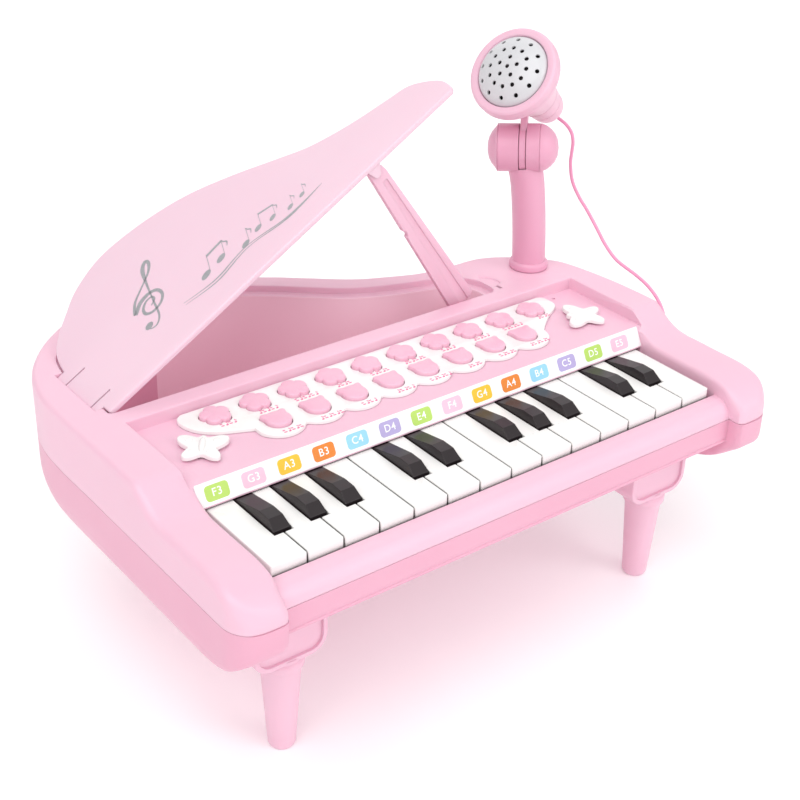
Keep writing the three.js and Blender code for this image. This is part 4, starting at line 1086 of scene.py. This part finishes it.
def make_black_key(number):
    """A tapering bar with a sloping front facet, a steep front face and fine bevelled edges."""
    x = (BLACK_PLACES[number - 1] - WHITE_KEYS / 2) * KEY_PITCH
    low, high = BLACK_WIDTH / 2, BLACK_TOP_WIDTH / 2
    stem_z = WHITE_TOP_Z - WHITE_THICK
    side = along_x(f"black_key_{number}_moulding", [
        (BLACK_FRONT_Y, stem_z), (KEY_END_Y, stem_z), (KEY_END_Y, WHITE_TOP_Z), (BLACK_END_Y, WHITE_TOP_Z),
        (BLACK_END_Y, BLACK_BACK_Z), (BLACK_BREAK_Y, BLACK_TOP_Z), (BLACK_EDGE_Y, BLACK_TOP_Z - 0.3),
        (BLACK_FRONT_Y, WHITE_TOP_Z + 0.2)], x - low, x + low)
    section = along_y("section", [
        (x - low, stem_z - 1), (x + low, stem_z - 1), (x + low, WHITE_TOP_Z), (x + high, BLACK_TOP_Z + 0.1),
        (x - high, BLACK_TOP_Z + 0.1), (x - low, WHITE_TOP_Z)], 20, KEY_HINGE[0] + 1)
    keep_inside(side, section)
    bevelled(side, 0.28, 2, 8)
    join(side, key_bead(x, BLACK_WIDTH - 0.2))
    return finished(side, BLACK, f"black_key_{number}", f"black_key_{number}", smooth=9)


# ---- note strip -------------------------------------------------------------------------------
NOTE_NAMES = ("F3", "G3", "A3", "B3", "C4", "D4", "E4", "F4", "G4", "A4", "B4", "C5", "D5", "E5")
TILE_COLOURS = {
    "green": (184, 220, 96), "pink": (247, 196, 218), "yellow": (246, 194, 0), "orange": (234, 128, 0),
    "blue": (150, 212, 244), "lilac": (182, 168, 218),
}
TILE_SIZE = (14, 8.4)
TILE_CORNER = 2.2
TILE_SHIFT = 2.6                  # how far the tiles stand left of their keys' middles
PAPER_HALF = 157.4
CAPTION_SIZE = 5.9
TILE_ORDER = ("green", "pink", "yellow", "orange", "blue", "lilac")


def on_strip(points):
    """Takes (x, up the slope, out of the slope) to the note strip's place, from the slope's middle."""
    slope = Vector((0, STRIP_HIGH[0] - STRIP_LOW[0], STRIP_HIGH[1] - STRIP_LOW[1])).normalized()
    outward = Vector((0, -slope.z, slope.y))
    middle = Vector((0, (STRIP_HIGH[0] + STRIP_LOW[0]) / 2, (STRIP_HIGH[1] + STRIP_LOW[1]) / 2))
    basis = Matrix(((1, 0, 0), slope, outward)).transposed().to_4x4()
    return transformed(points, Matrix.Translation(middle) @ basis)


def strip_plate(name, outline, low, high):
    rings = [on_strip(at_height(outline, low)), on_strip(at_height(outline, high - 0.04)),
             on_strip(at_height(offset(outline, -0.04), high))]
    return loft(name, rings)


def text_mesh(name, words, size, thickness):
    """Flat lettering as a mesh centred on the origin, in millimetres, and its points and faces."""
    data = bpy.data.curves.new(name, "FONT")
    data.body = words
    data.size = size
    data.extrude = thickness / 2
    data.offset = 0.05
    data.space_character = 1.12
    data.align_x = "CENTER"
    data.align_y = "CENTER"
    data.resolution_u = 4
    piece = in_scene(name, data)
    depsgraph = bpy.context.evaluated_depsgraph_get()
    result = bpy.data.meshes.new_from_object(piece.evaluated_get(depsgraph))
    points = [tuple(v.co) for v in result.vertices]
    faces = [tuple(p.vertices) for p in result.polygons]
    bpy.data.objects.remove(piece)
    bpy.data.meshes.remove(result)
    return points, faces


def make_note_strip():
    length = math.dist(STRIP_LOW, STRIP_HIGH)
    base = rounded_rectangle(-PAPER_HALF, PAPER_HALF, -length / 2 + 0.35, length / 2 + 0.15, 0.8)
    finished(strip_plate("note_strip", base, 0.01, 0.16), PAPER, "casing")
    inks = {key: printed(f"tile_{key}", srgb(*colour), srgb(248, 248, 248), 0.1)
            for key, colour in TILE_COLOURS.items()}
    half_x, half_y = TILE_SIZE[0] / 2, TILE_SIZE[1] / 2
    for i, words in enumerate(NOTE_NAMES):
        x = (i - (WHITE_KEYS - 1) / 2) * KEY_PITCH - TILE_SHIFT
        key = TILE_ORDER[i % len(TILE_ORDER)]
        outline = rounded_rectangle(x - half_x, x + half_x, -half_y, half_y, TILE_CORNER)
        tile = strip_plate(f"note_tile_{i + 1}", outline, 0.12, 0.2)
        finished(tile, inks[key], "casing")
        points, faces = text_mesh("caption", words, CAPTION_SIZE, 0.06)
        shifted = np.array(points) + (x, 0, 0.2)
        label = tidy_mesh(mesh_of(f"note_caption_{i + 1}", on_strip(shifted), faces))
        finished(label, CAPTION_INK, "casing")


# ---- controls ---------------------------------------------------------------------------------
BUTTON_SHOULDER = 0.9
BUTTON_EDGE_Z = 154.9
FLANGE_RADIUS = 11.4
BUTTON_LOW_Z = RECESS_Z - 2.4 - GAP            # under the casing's deck, where flanges stop the buttons
BUTTERFLY_LOW_Z = RECESS_Z + 1.4
BUTTERFLY_THICK = 2.8
WING_DOTS = ((38, 9.4), (142, 9.4), (-48, 6.9), (228, 6.9))      # angle and distance from the middle
DOT_PROFILE = [(0, 0), (2.1, 0), (1.9, 0.55), (1.2, 0.8), (0, 0.9)]
MARK_PITCH = 2.6


def domed(name, outline_at, low, edge, top):
    """A button: straight sides, a rounded shoulder and a low crown."""
    rings = [at_height(outline_at(0), low), at_height(outline_at(0), edge - 0.5)]
    for turn in np.linspace(0, math.pi / 2, 5)[1:]:
        inset = -BUTTON_SHOULDER * (1 - math.cos(turn))
        rings.append(at_height(outline_at(inset), edge - 0.5 + BUTTON_SHOULDER * math.sin(turn)))
    shoulder = rings[-1]
    middle = shoulder[:, :2].mean(axis=0)
    for share in (0.86, 0.68, 0.46, 0.22):
        ring = shoulder.copy()
        ring[:, :2] = middle + (shoulder[:, :2] - middle) * share
        ring[:, 2] = edge + 0.4 + (top - edge - 0.4) * (1 - share ** 2.4)
        rings.append(ring)
    return loft(name, rings)


def make_sound_button(name, x, y, form):
    low = BUTTON_LOW_Z
    cap = domed(f"{name}_moulding", lambda grow: placed(polar(form, 80, grow), x, y), low - 1,
                BUTTON_EDGE_Z, BUTTON_TOP_Z)
    join(cap, rod((x, y, low - 4.4), (x, y, low), FLANGE_RADIUS, 40))
    return finished(cap, BUTTON_PINK, name, name, smooth=40)


def make_butterfly(side, x, y, lean):
    """A white butterfly on a shank, with raised wing edges and a round body."""
    turn = math.radians(lean)
    name = f"{side}_butterfly_button"
    low = BUTTERFLY_LOW_Z
    outline = placed(polar(butterfly, 96), x, y, turn)
    cap = slab(f"{name}_moulding", outline, low, low + BUTTERFLY_THICK, top_round=0.8, bottom_round=0.3)
    spine = np.linspace(-6.5, 8.5, 24)
    width = 1.9 * np.sqrt(np.maximum(1 - ((spine - 1) / 7.7) ** 2, 0.02))
    body_path = [(x - s * math.sin(turn), y + s * math.cos(turn), low + 2.5) for s in spine]

    def body_section(share):
        return arc((0, 0), float(np.interp(share, np.linspace(0, 1, 24), width)), 0, 360, 14)[:-1]

    join(cap, swept("body", body_path, body_section))
    dots = []
    for angle, reach in WING_DOTS:
        spot = math.radians(angle) + turn
        at = (x + reach * math.cos(spot), y + reach * math.sin(spot), low + 2.4)
        dots.append(turned("dot", DOT_PROFILE, 20, stand_on(at, (0, 0, 1))))
    join(cap, *dots)
    join(cap, rod((x, y, 144), (x, y, low + 0.6), 5), rod((x, y, 145.4), (x, y, BUTTON_LOW_Z), 8))
    return finished(cap, WHITE, name, name)


def make_panel():
    panel = slab("button_panel_moulding", panel_outline(), PANEL_Z, PANEL_Z + PANEL_THICK, top_round=0.6)
    top = PANEL_Z + PANEL_THICK
    holes = [flared_cutter(placed(polar(form, 60, 0.45), x, y), PANEL_Z - 2, top, 0.3, above=6)
             for _, x, y, form in button_places()]
    cut(panel, gathered("cutter", holes))
    return finished(panel, WHITE, "casing", "button_panel", smooth=40)


def note_mark(x, y, turn, size):
    """Points and faces of a printed note: a leaning oval head, a stem and a flag, as flat outlines."""
    head = [(1.1 * c, 0.8 * s) for c, s in arc((0, 0), 1, 0, 360, 12)[:-1]]
    head = placed(head, 0, 0, 0.4)
    stem = [(0.75, 0.1), (1.1, 0.1), (1.1, 3.6), (0.75, 3.6)]
    flag = [(1.1, 3.6), (1.9, 2.9), (2.3, 2.0), (2.0, 1.9), (1.6, 2.6), (1.1, 2.9)]
    return [placed(np.array(part) * size, x, y, turn) for part in (head, stem, flag)]


def make_button_marks():
    """Small printed notes and bars beside each button, in place of its caption."""
    z = PANEL_Z + PANEL_THICK
    parts = []
    for number, (_, x, y, form) in enumerate(button_places()):
        below = y - 10.2 if form is petals else y - 11.2
        count = 4 + number % 3
        for k in range(count):
            left = x + 1 + (k - (count - 1) / 2) * MARK_PITCH
            if (k + number) % 2:
                parts += note_mark(left + 1, below - 1.2, 0.08, 0.8)
            else:
                parts += [rounded_rectangle(left - 0.1, left + long, below + low, below + low + 0.9, 0.4, 3)
                          for long, low in ((1.9, -1.5), (1.5, 0.3))]
    marks = [slab("mark", part, z - 0.05, z + 0.06) for part in parts]
    return finished(gathered("button_marks", marks), PINK_INK, "casing")


# ---- lid and prop -----------------------------------------------------------------------------
PROP_U = 203
PROP_DROP = 5
PROP_TILT = math.radians(57.2)
PROP_LENGTH = 124
PROP_THICK = 4
PROP_Y = 147
# A treble clef in one stroke, from the middle of its curl to the end of its tail, and its widths.
CLEF = [(0.1, -0.15), (0.55, 0.3), (0.35, 0.85), (-0.3, 0.85), (-0.75, 0.2), (-0.6, -0.65), (0.15, -1.05),
        (1.05, -0.75), (1.4, 0.15), (1.0, 1.15), (0.1, 1.55), (-0.95, 1.2), (-1.6, 0.2), (-1.45, 1.7),
        (-0.5, 3.0), (0.45, 4.2), (0.75, 5.3), (0.45, 6.0), (0.0, 5.2), (0.05, 3.4), (0.4, 0.2), (0.65, -2.0),
        (0.3, -2.95), (-0.35, -2.95), (-0.7, -2.5)]
CLEF_WIDTHS = [0.8, 1.4, 2.2, 1.6, 2.4, 3.0, 2.2, 1.4, 1.1, 2.2, 2.8, 1.6, 1.0, 1.4, 1.2, 0.8]
CLEF_PLACE = (62, 187, 6.4)       # along the lid, depth and size
CLEF_BALL = (-0.52, -2.42, 0.42, 20)
LUG_HALF = 5
LUG_ROUND = 2.6
PIVOT_PIN = (4.2, 1.2)            # half its length, and its radius
BARREL = (3.2, 1.25)              # radii of the hinge's barrel and of its pins
# The prop's outline from its pivot: the straight edge with its notch, the foot, the other edge.
PROP_OUTLINE = [(-4, -1.4), (-1.5, -4), (47, -4), (48, -2.7), (51.4, -2.7), (52.4, -4),
                (PROP_LENGTH - 3, -4), (PROP_LENGTH - 0.8, -3), (PROP_LENGTH, -1), (PROP_LENGTH, 11.5),
                (PROP_LENGTH - 0.8, 13.6), (PROP_LENGTH - 3, 14.4), (4, 7), (0, 6), (-3.2, 3.8), (-4.1, 1)]
PROP_CHANNEL = [(9, 1), (PROP_LENGTH + 5, 3.2), (PROP_LENGTH + 5, 9.6), (9, 4.4)]
# Each note: along the lid from its hinge, depth, size, and whether a beam joins it to the next.
NOTES = [(95, 172, 2.9, True), (108, 174, 2.7, False), (123, 168, 2.4, False), (135, 171, 2.2, True),
         (145, 169, 2.0, False), (156, 165, 1.8, False), (166, 166, 1.7, False)]


def opened(piece):
    """Turns a piece made on the shut lid up about the lid's hinge."""
    hinge = Matrix.Translation(Vector((LID_HINGE[0], 0, LID_HINGE[1])) * MM)
    piece.data.transform(hinge @ Matrix.Rotation(-LID_ANGLE, 4, "Y") @ hinge.inverted())
    return piece


def make_lid():
    front, back = HINGE_Y
    hinge_x, hinge_z = LID_HINGE
    top = LID_LOW_Z + LID_THICK
    lid = slab("lid_moulding", lid_outline, LID_LOW_Z, top, top_round=1.1, bottom_round=0.7)
    edge = slab("edge", rounded_rectangle(hinge_x - HINGE_EDGE, hinge_x + 8, front, back, 0.8, 4), LID_LOW_Z,
                top, top_round=0.5, bottom_round=0.4)
    inland = slab("edge", rounded_rectangle(hinge_x, hinge_x + 6, front + 0.4, back - 0.4, 0.5, 3),
                  LID_LOW_Z + 0.2, top)
    barrel = rod((hinge_x, front, hinge_z), (hinge_x, back, hinge_z), BARREL[0], 32)
    pins = rod((hinge_x, front - 3, hinge_z), (hinge_x, back + 3, hinge_z), BARREL[1], 20)
    join(lid, edge, inland, barrel, pins)
    for y in HINGE_SLOTS:
        slot = rounded_rectangle(hinge_x - 9, hinge_x + 11.2, y - 0.6, y + 0.6, 0.55, 4)
        cut(lid, slab("cutter", slot, 150, 165))
    pivot_x, pivot_z = hinge_x + PROP_U, hinge_z - PROP_DROP
    for side in (-1, 1):
        inner = PROP_Y + side * (PROP_THICK / 2 + GAP)
        profile = [(pivot_x + LUG_HALF, LID_LOW_Z + 1), (pivot_x - LUG_HALF, LID_LOW_Z + 1),
                   *arc((pivot_x, pivot_z), LUG_ROUND, 190, 350, 12)]
        join(lid, along_y("lug", profile, min(inner, inner + side * 2), max(inner, inner + side * 2)))
    half, radius = PIVOT_PIN
    join(lid, rod((pivot_x, PROP_Y - half, pivot_z), (pivot_x, PROP_Y + half, pivot_z), radius, 20))
    return finished(opened(lid), LID_PINK_PAINTED_SHEEN, "lid", "lid")


def make_ornament():
    """A foil ornament on the lid: a treble clef and a row of notes over a double flourish."""
    top = LID_LOW_Z + LID_THICK

    def on_lid(points, u, y, size):
        """Takes upright points to the lid; uprights lean towards the hinge, so that they look upright."""
        across, up = (np.array(points, float) * size).T
        return np.stack([LID_HINGE[0] + u + across + 0.42 * up, y + 0.9 * up - 0.1 * across], 1)

    def stroke(points, widths):
        """A foil line along points, with widths from its start to its end."""
        points = np.array(points, float)
        side = np.gradient(points, axis=0)
        side /= np.linalg.norm(side, axis=1, keepdims=True)
        side = np.stack([-side[:, 1], side[:, 0]], 1)
        half = np.interp(np.linspace(0, 1, len(points)), np.linspace(0, 1, len(widths)), widths) / 2
        left, right = points - side * half[:, None], points + side * half[:, None]
        rings = [np.array([(*a, top - 0.06), (*b, top - 0.06), (*b, top + 0.07), (*a, top + 0.07)])
                 for a, b in zip(left, right)]
        return loft("mark", rings)

    marks = [stroke(on_lid(spline(CLEF, 150), *CLEF_PLACE), CLEF_WIDTHS),
             slab("mark", on_lid(circle(*CLEF_BALL), *CLEF_PLACE), top - 0.06, top + 0.08)]
    for i, (u, y, size, joined) in enumerate(NOTES):
        head = placed([(1.25 * c, 0.9 * s) for c, s in arc((0, 0), 1, 0, 360, 24)[:-1]], 0, 0, 0.5)
        marks.append(slab("mark", on_lid(head, u, y, size), top - 0.06, top + 0.07))
        stem = on_lid([(1.05, 0.3), (1.08, 2.5), (1.1, 5.2)], u, y, size)
        marks.append(stroke(stem, [0.1 * size, 0.16 * size]))
        if joined:
            next_u, next_y, next_size, _ = NOTES[i + 1]
            start = on_lid([(1.1, 4.95)], u, y, size)[0]
            end = on_lid([(1.1, 4.95)], next_u, next_y, next_size)[0]
            marks.append(stroke([start, (start + end) / 2, end], [0.62 * size, 0.62 * next_size]))
        else:
            flag = spline([(1.1, 5.2), (1.5, 4.3), (2.3, 3.5), (2.1, 2.2)], 16)
            marks.append(stroke(on_lid(flag, u, y, size), [0.2 * size, 0.45 * size, 0.1 * size]))
    for lift in (0, 2.2):
        sweep = spline([(74, 167 - lift), (96, 163 - lift), (122, 166 - lift * 0.8), (150, 160 - lift * 0.5),
                        (178, 161)], 60)
        marks.append(stroke(sweep + (LID_HINGE[0], 0), [0.25, 1.0, 0.5, 1.1, 0.2]))
    return finished(opened(gathered("lid_ornament", marks)), FOIL, "lid")


def make_prop():
    """A flat bar that widens towards its foot, notched on its straight edge."""
    bar = along_y("lid_prop_moulding", np.array(PROP_OUTLINE), -PROP_THICK / 2, PROP_THICK / 2)
    bevelled(bar, 0.55, 3)
    cut(bar, bevelled(along_y("cutter", PROP_CHANNEL, -3, -1.3), 0.3, 2))
    cut(bar, rod((0, -5, 0), (0, 5, 0), 1.5, 20))
    hinge = Vector((LID_HINGE[0], 0, LID_HINGE[1]))
    pivot = hinge + Matrix.Rotation(-LID_ANGLE, 3, "Y") @ Vector((PROP_U, PROP_Y, -PROP_DROP))
    zero = Vector((0, KEY_FRONT, 0))
    bar.data.transform(Matrix.Translation(pivot * MM + zero) @ Matrix.Rotation(PROP_TILT, 4, "Y")
                       @ Matrix.Translation(-zero))
    return finished(bar, PINK, "lid_prop", "lid_prop")


# ---- microphone -------------------------------------------------------------------------------
KNUCKLE_HALF = 22.3
SLOT_HALF = 2.4
GRILLE_RADIUS = 22.8
TONGUE_RADIUS = 14.5
GRILLE_DOME = 9
HOLE_ROW = Vector((0.5437, 0.278, 0.785))      # the direction in which one hole of each ring lies
knuckle_place = stand_on(KNUCKLE, KNUCKLE_AXIS)
mic_place = stand_on(MIC_FACE, MIC_AXIS)


def groove(radius, height, depth=0.45, half=0.28):
    return [(radius, height - half), (radius - depth, height), (radius, height + half)]


POST_RADIUS = 10.8
POST_SPIGOT = 7.2
POST_BENDS = ((0, 1), (0.12, 22), (0.3, 42), (0.55, 60))       # share of the way across, and height
POST_FOOT = [(0, 0.3), (12.2, 0.3), (12.6, 0.9), (12.6, 3), (12.3, 4.2), (11.6, 5), (10.8, 5.4), (0, 5.4)]
BARREL_PROFILE = [
    (0, -KNUCKLE_HALF), (3.6, -22.1), (7, -21.2), (10, -19.6), (12.4, -17.6), (14, -16.4), (15, -16),
    *groove(15, -15.4), (15, -8), (15, 8), *groove(15, 10.8), (14.7, 12.2), (13.6, 14.8), (11.6, 17.6),
    (8.8, 20), (5, 21.7), (0, KNUCKLE_HALF),
]
CLIP_HALF = SLOT_HALF - GAP
CLIP_DISC = [(0, -CLIP_HALF), (TONGUE_RADIUS - 0.3, -CLIP_HALF), (TONGUE_RADIUS, 0.3 - CLIP_HALF),
             (TONGUE_RADIUS, CLIP_HALF - 0.3), (TONGUE_RADIUS - 0.3, CLIP_HALF), (0, CLIP_HALF)]
BODY_PROFILE = [
    (0, -60), (6.2, -60), (8.4, -59.3), (10, -57.8), (10.8, -55.4), (11.3, -51), *groove(11.5, -49, 0.4),
    (11.9, -46.5), (12.9, -41), (13.2, -39.6), *groove(13.4, -38.6, 0.4), (14, -36.6), (16.8, -29.4),
    (19.8, -22.4), (22.6, -15.8), (24, -11.6), (24.6, -9.9), (25.4, -9.4), (27.4, -9.2), (28.4, -8.4),
    (28.8, -7), *groove(28.8, -5, 0.3), (28.8, -2.6), (28.3, -1), (27.2, -0.2), (25.6, 0), (23.8, -0.2),
    (23.1, -1), (23.1, -6.6), (20, -14), (9, -34), (0, -34),
]
FOAM_PROFILE = [(0, -9), (21, -9), (21, -4.4), (18, 0.2), (12, 3.5), (6, 5.2), (0, 5.7)]
GRILLE_LOW = -1.8                 # foot of the dome, from the microphone's face
GRILLE_HOLES = ((0, 1), (6.2, 5), (12.5, 12), (18.9, 12))      # radius and count of each ring
GRILLE_HOLE_RADIUS = 1.35


def make_mic_post():
    top = KNUCKLE - Vector((0, 0, 4))
    path = spline([*((*POST_BASE.xy.lerp(top.xy, share), POST_BASE.z + height)
                     for share, height in POST_BENDS), top], 48)
    shaft = swept("mic_post_moulding", path, arc((0, 0), POST_RADIUS, 0, 360, 48)[:-1], up=(0, 1, 0))
    foot = turned("foot", POST_FOOT, 64, stand_on(POST_BASE, (0, 0, 1)))
    join(shaft, turned("barrel", BARREL_PROFILE, 64, knuckle_place), foot,
         rod((*POST_BASE.xy, RIM_Z - 9), (*POST_BASE.xy, RIM_Z + 2), POST_SPIGOT, 32))
    slot_radius = TONGUE_RADIUS + 0.6
    cut(shaft, turned("cutter", [(0, -SLOT_HALF), (slot_radius, -SLOT_HALF), (slot_radius, SLOT_HALF),
                                 (0, SLOT_HALF)], 64, knuckle_place))
    join(shaft, rod(KNUCKLE - KNUCKLE_AXIS * 12, KNUCKLE + KNUCKLE_AXIS * 12, 2.2, 20))
    return finished(shaft, POST_PINK_PAINTED_SHADE, "casing", "mic_post", smooth=30)


def make_mic_clip():
    """A flat tongue that turns in the post's slot and carries the microphone."""
    saddle = MIC_FACE - MIC_AXIS * 22
    along = (saddle - KNUCKLE).normalized()
    across = (KNUCKLE_AXIS - along * KNUCKLE_AXIS.dot(along)).normalized()
    sideways = along.cross(across)
    reach = (saddle - KNUCKLE).length
    half = CLIP_HALF
    disc = turned("mic_clip_moulding", CLIP_DISC, 64, knuckle_place)
    place = Matrix.Translation(KNUCKLE) @ Matrix((sideways, along, across)).transposed().to_4x4()
    outline = np.array([(-8.6, 4), (8.6, 4), (8.2, 15), (7, 22), (7, reach), (-7, reach), (-7, 22),
                        (-8.2, 15)])
    rings = [transformed(at_height(offset(outline, -inset), z), place)
             for z, inset in ((-half, 0.3), (0.3 - half, 0), (half - 0.3, 0), (half, 0.3))]
    neck = loft("neck", rings)
    cut(neck, *[turned("cutter", [(0, low), (15.4, low), (15.4, high), (0, high)], 64, knuckle_place)
                for low, high in ((-40, -half), (half, 40))])
    join(disc, neck)
    cut(disc, rod(KNUCKLE - KNUCKLE_AXIS * 20, KNUCKLE + KNUCKLE_AXIS * 20, 2.6, 24))
    return finished(disc, POST_PINK_PAINTED_SHADE, "microphone", "mic_clip", smooth=30)


def make_mic_body():
    body = turned("mic_body_moulding", BODY_PROFILE, 72, mic_place)
    cut(body, rod(MIC_FACE - MIC_AXIS * 64, MIC_FACE - MIC_AXIS * 52, 1.6, 16))
    return finished(body, PINK, "microphone", "mic_body", smooth=28)


def make_mic_grille():
    """A white dome pierced by a middle hole and rings of 5, 12 and 12 holes in line."""
    def shell(radius, low, drop):
        turn = np.linspace(0, math.pi / 2, 18)
        foot = GRILLE_LOW - drop
        rise = [(radius * math.cos(t), foot + GRILLE_DOME * math.sin(t)) for t in turn[:-1]]
        return [(0, low), (radius, low), *rise, (0, foot + GRILLE_DOME)]

    dome = turned("mic_grille_moulding", shell(GRILLE_RADIUS, -6, 0), 72, mic_place)
    cut(dome, turned("cutter", shell(GRILLE_RADIUS - 1.0, -7, 1.0), 72, mic_place))
    row = mic_place.to_3x3().inverted() @ HOLE_ROW
    first = math.atan2(row.y, row.x)
    holes = []
    for radius, count in GRILLE_HOLES:
        for i in range(count):
            turn = first + 2 * math.pi * i / count
            lean = 0.55 * radius / GRILLE_RADIUS
            out = math.sin(lean)
            direction = Vector((out * math.cos(turn), out * math.sin(turn), math.cos(lean)))
            height = GRILLE_LOW + GRILLE_DOME * math.sqrt(1 - (radius / GRILLE_RADIUS) ** 2)
            middle = Vector((radius * math.cos(turn), radius * math.sin(turn), height))
            holes.append(rod(mic_place @ (middle - direction * 4), mic_place @ (middle + direction * 4),
                             GRILLE_HOLE_RADIUS, 16))
    cut(dome, gathered("cutter", holes))
    finished(dome, GRILLE_SILVER_AND_SHADE, "microphone", "mic_grille", smooth=30)
    # Dark foam behind the grille, partly painted shade that darkens its holes.
    foam = turned("mic_foam", FOAM_PROFILE, 48, mic_place)
    return finished(foam, DARK_FOAM_AND_SHADE, "microphone")


def make_lead_ends():
    """A short tapered sleeve at each end of the lead."""
    path = spline(LEAD_ROUTE, 260)
    sleeves = []
    for name, part, body in (("lead_sleeve_microphone", path[:7], "microphone"),
                             ("lead_sleeve_casing", path[::-1][:5], "casing")):
        def section(share):
            ridge = 0.16 * math.cos(share * 22)
            return arc((0, 0), 2.5 - 0.95 * share + ridge, 0, 360, 20)[:-1]

        dense = spline(part, 24)
        sleeve = swept(name, dense, section)
        sleeves.append(finished(sleeve, SHEATH, body, smooth=50))
    return sleeves


# ---- stage ------------------------------------------------------------------------------------
FLOOR_REACH = 6                   # metres
FLOOR_GLOW = 0.08
WORLD_STRENGTH = 0.55
# Each light: name, direction towards it, spread in degrees, strength.
SUNS = [("key_light", (-0.55, -0.35, 1.0), 55, 1.6), ("back_sheen", (0.533, 0.682, 0.5), 70, 0.6),
        ("front_fill", (0.4, -0.85, 0.52), 40, 0.85)]


def soft_sun(name, towards, spread, strength):
    data = bpy.data.lights.new(name, "SUN")
    data.energy = strength
    data.angle = math.radians(spread)
    light = in_scene(name, data)
    light.matrix_world = Vector(towards).to_track_quat("Z", "Y").to_matrix().to_4x4()


def make_stage():
    data = bpy.data.meshes.new("floor")
    corners = ((-1, -1), (1, -1), (1, 1), (-1, 1))
    data.from_pydata([(x * FLOOR_REACH, y * FLOOR_REACH, 0) for x, y in corners], [], [(0, 1, 2, 3)])
    floor = in_scene("floor", data)
    n = Nodes("floor_pale")
    n.feed("Base Color", n.mixed(n.spread(n.noise(3), 0, 1), srgb(252, 252, 252), srgb(248, 248, 248)))
    n.feed("Roughness", n.spread(n.noise(40), 0.6, 0.7))
    n.feed("Emission Color", (1, 1, 1, 1))
    n.feed("Emission Strength", FLOOR_GLOW)
    data.materials.append(n.material)
    world = bpy.data.worlds.new("studio")
    world.use_nodes = True
    background = world.node_tree.nodes["Background"]
    background.inputs["Color"].default_value = (1, 1, 1, 1)
    background.inputs["Strength"].default_value = WORLD_STRENGTH
    bpy.context.scene.world = world
    bpy.context.scene.view_settings.view_transform = "Standard"
    for sun in SUNS:
        soft_sun(*sun)


# ---- assembly ---------------------------------------------------------------------------------
lead, lead_points, lead_length = make_lead()
lead_ends = make_lead_ends()
make_upper_casing()
make_lower_casing()
make_battery_cover()
make_screws()
for leg_name, (leg_x, leg_y) in LEG_PLACES.items():
    make_leg(leg_name, leg_x, leg_y)
for key_number in range(1, WHITE_KEYS + 1):
    make_white_key(key_number)
for key_number in range(1, len(BLACK_PLACES) + 1):
    make_black_key(key_number)
make_note_strip()
for button in button_places():
    make_sound_button(*button)
for wing_side, wing_place in BUTTERFLIES.items():
    make_butterfly(wing_side, *wing_place)
make_panel()
make_button_marks()
make_lid()
make_ornament()
make_prop()
make_mic_post()
make_mic_clip()
make_mic_body()
make_mic_grille()
for cad_name, cad_material in (("circuit_board", BOARD), ("speaker", STEEL)):
    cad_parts[cad_name].data.materials.clear()
    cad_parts[cad_name].data.materials.append(cad_material)
make_stage()
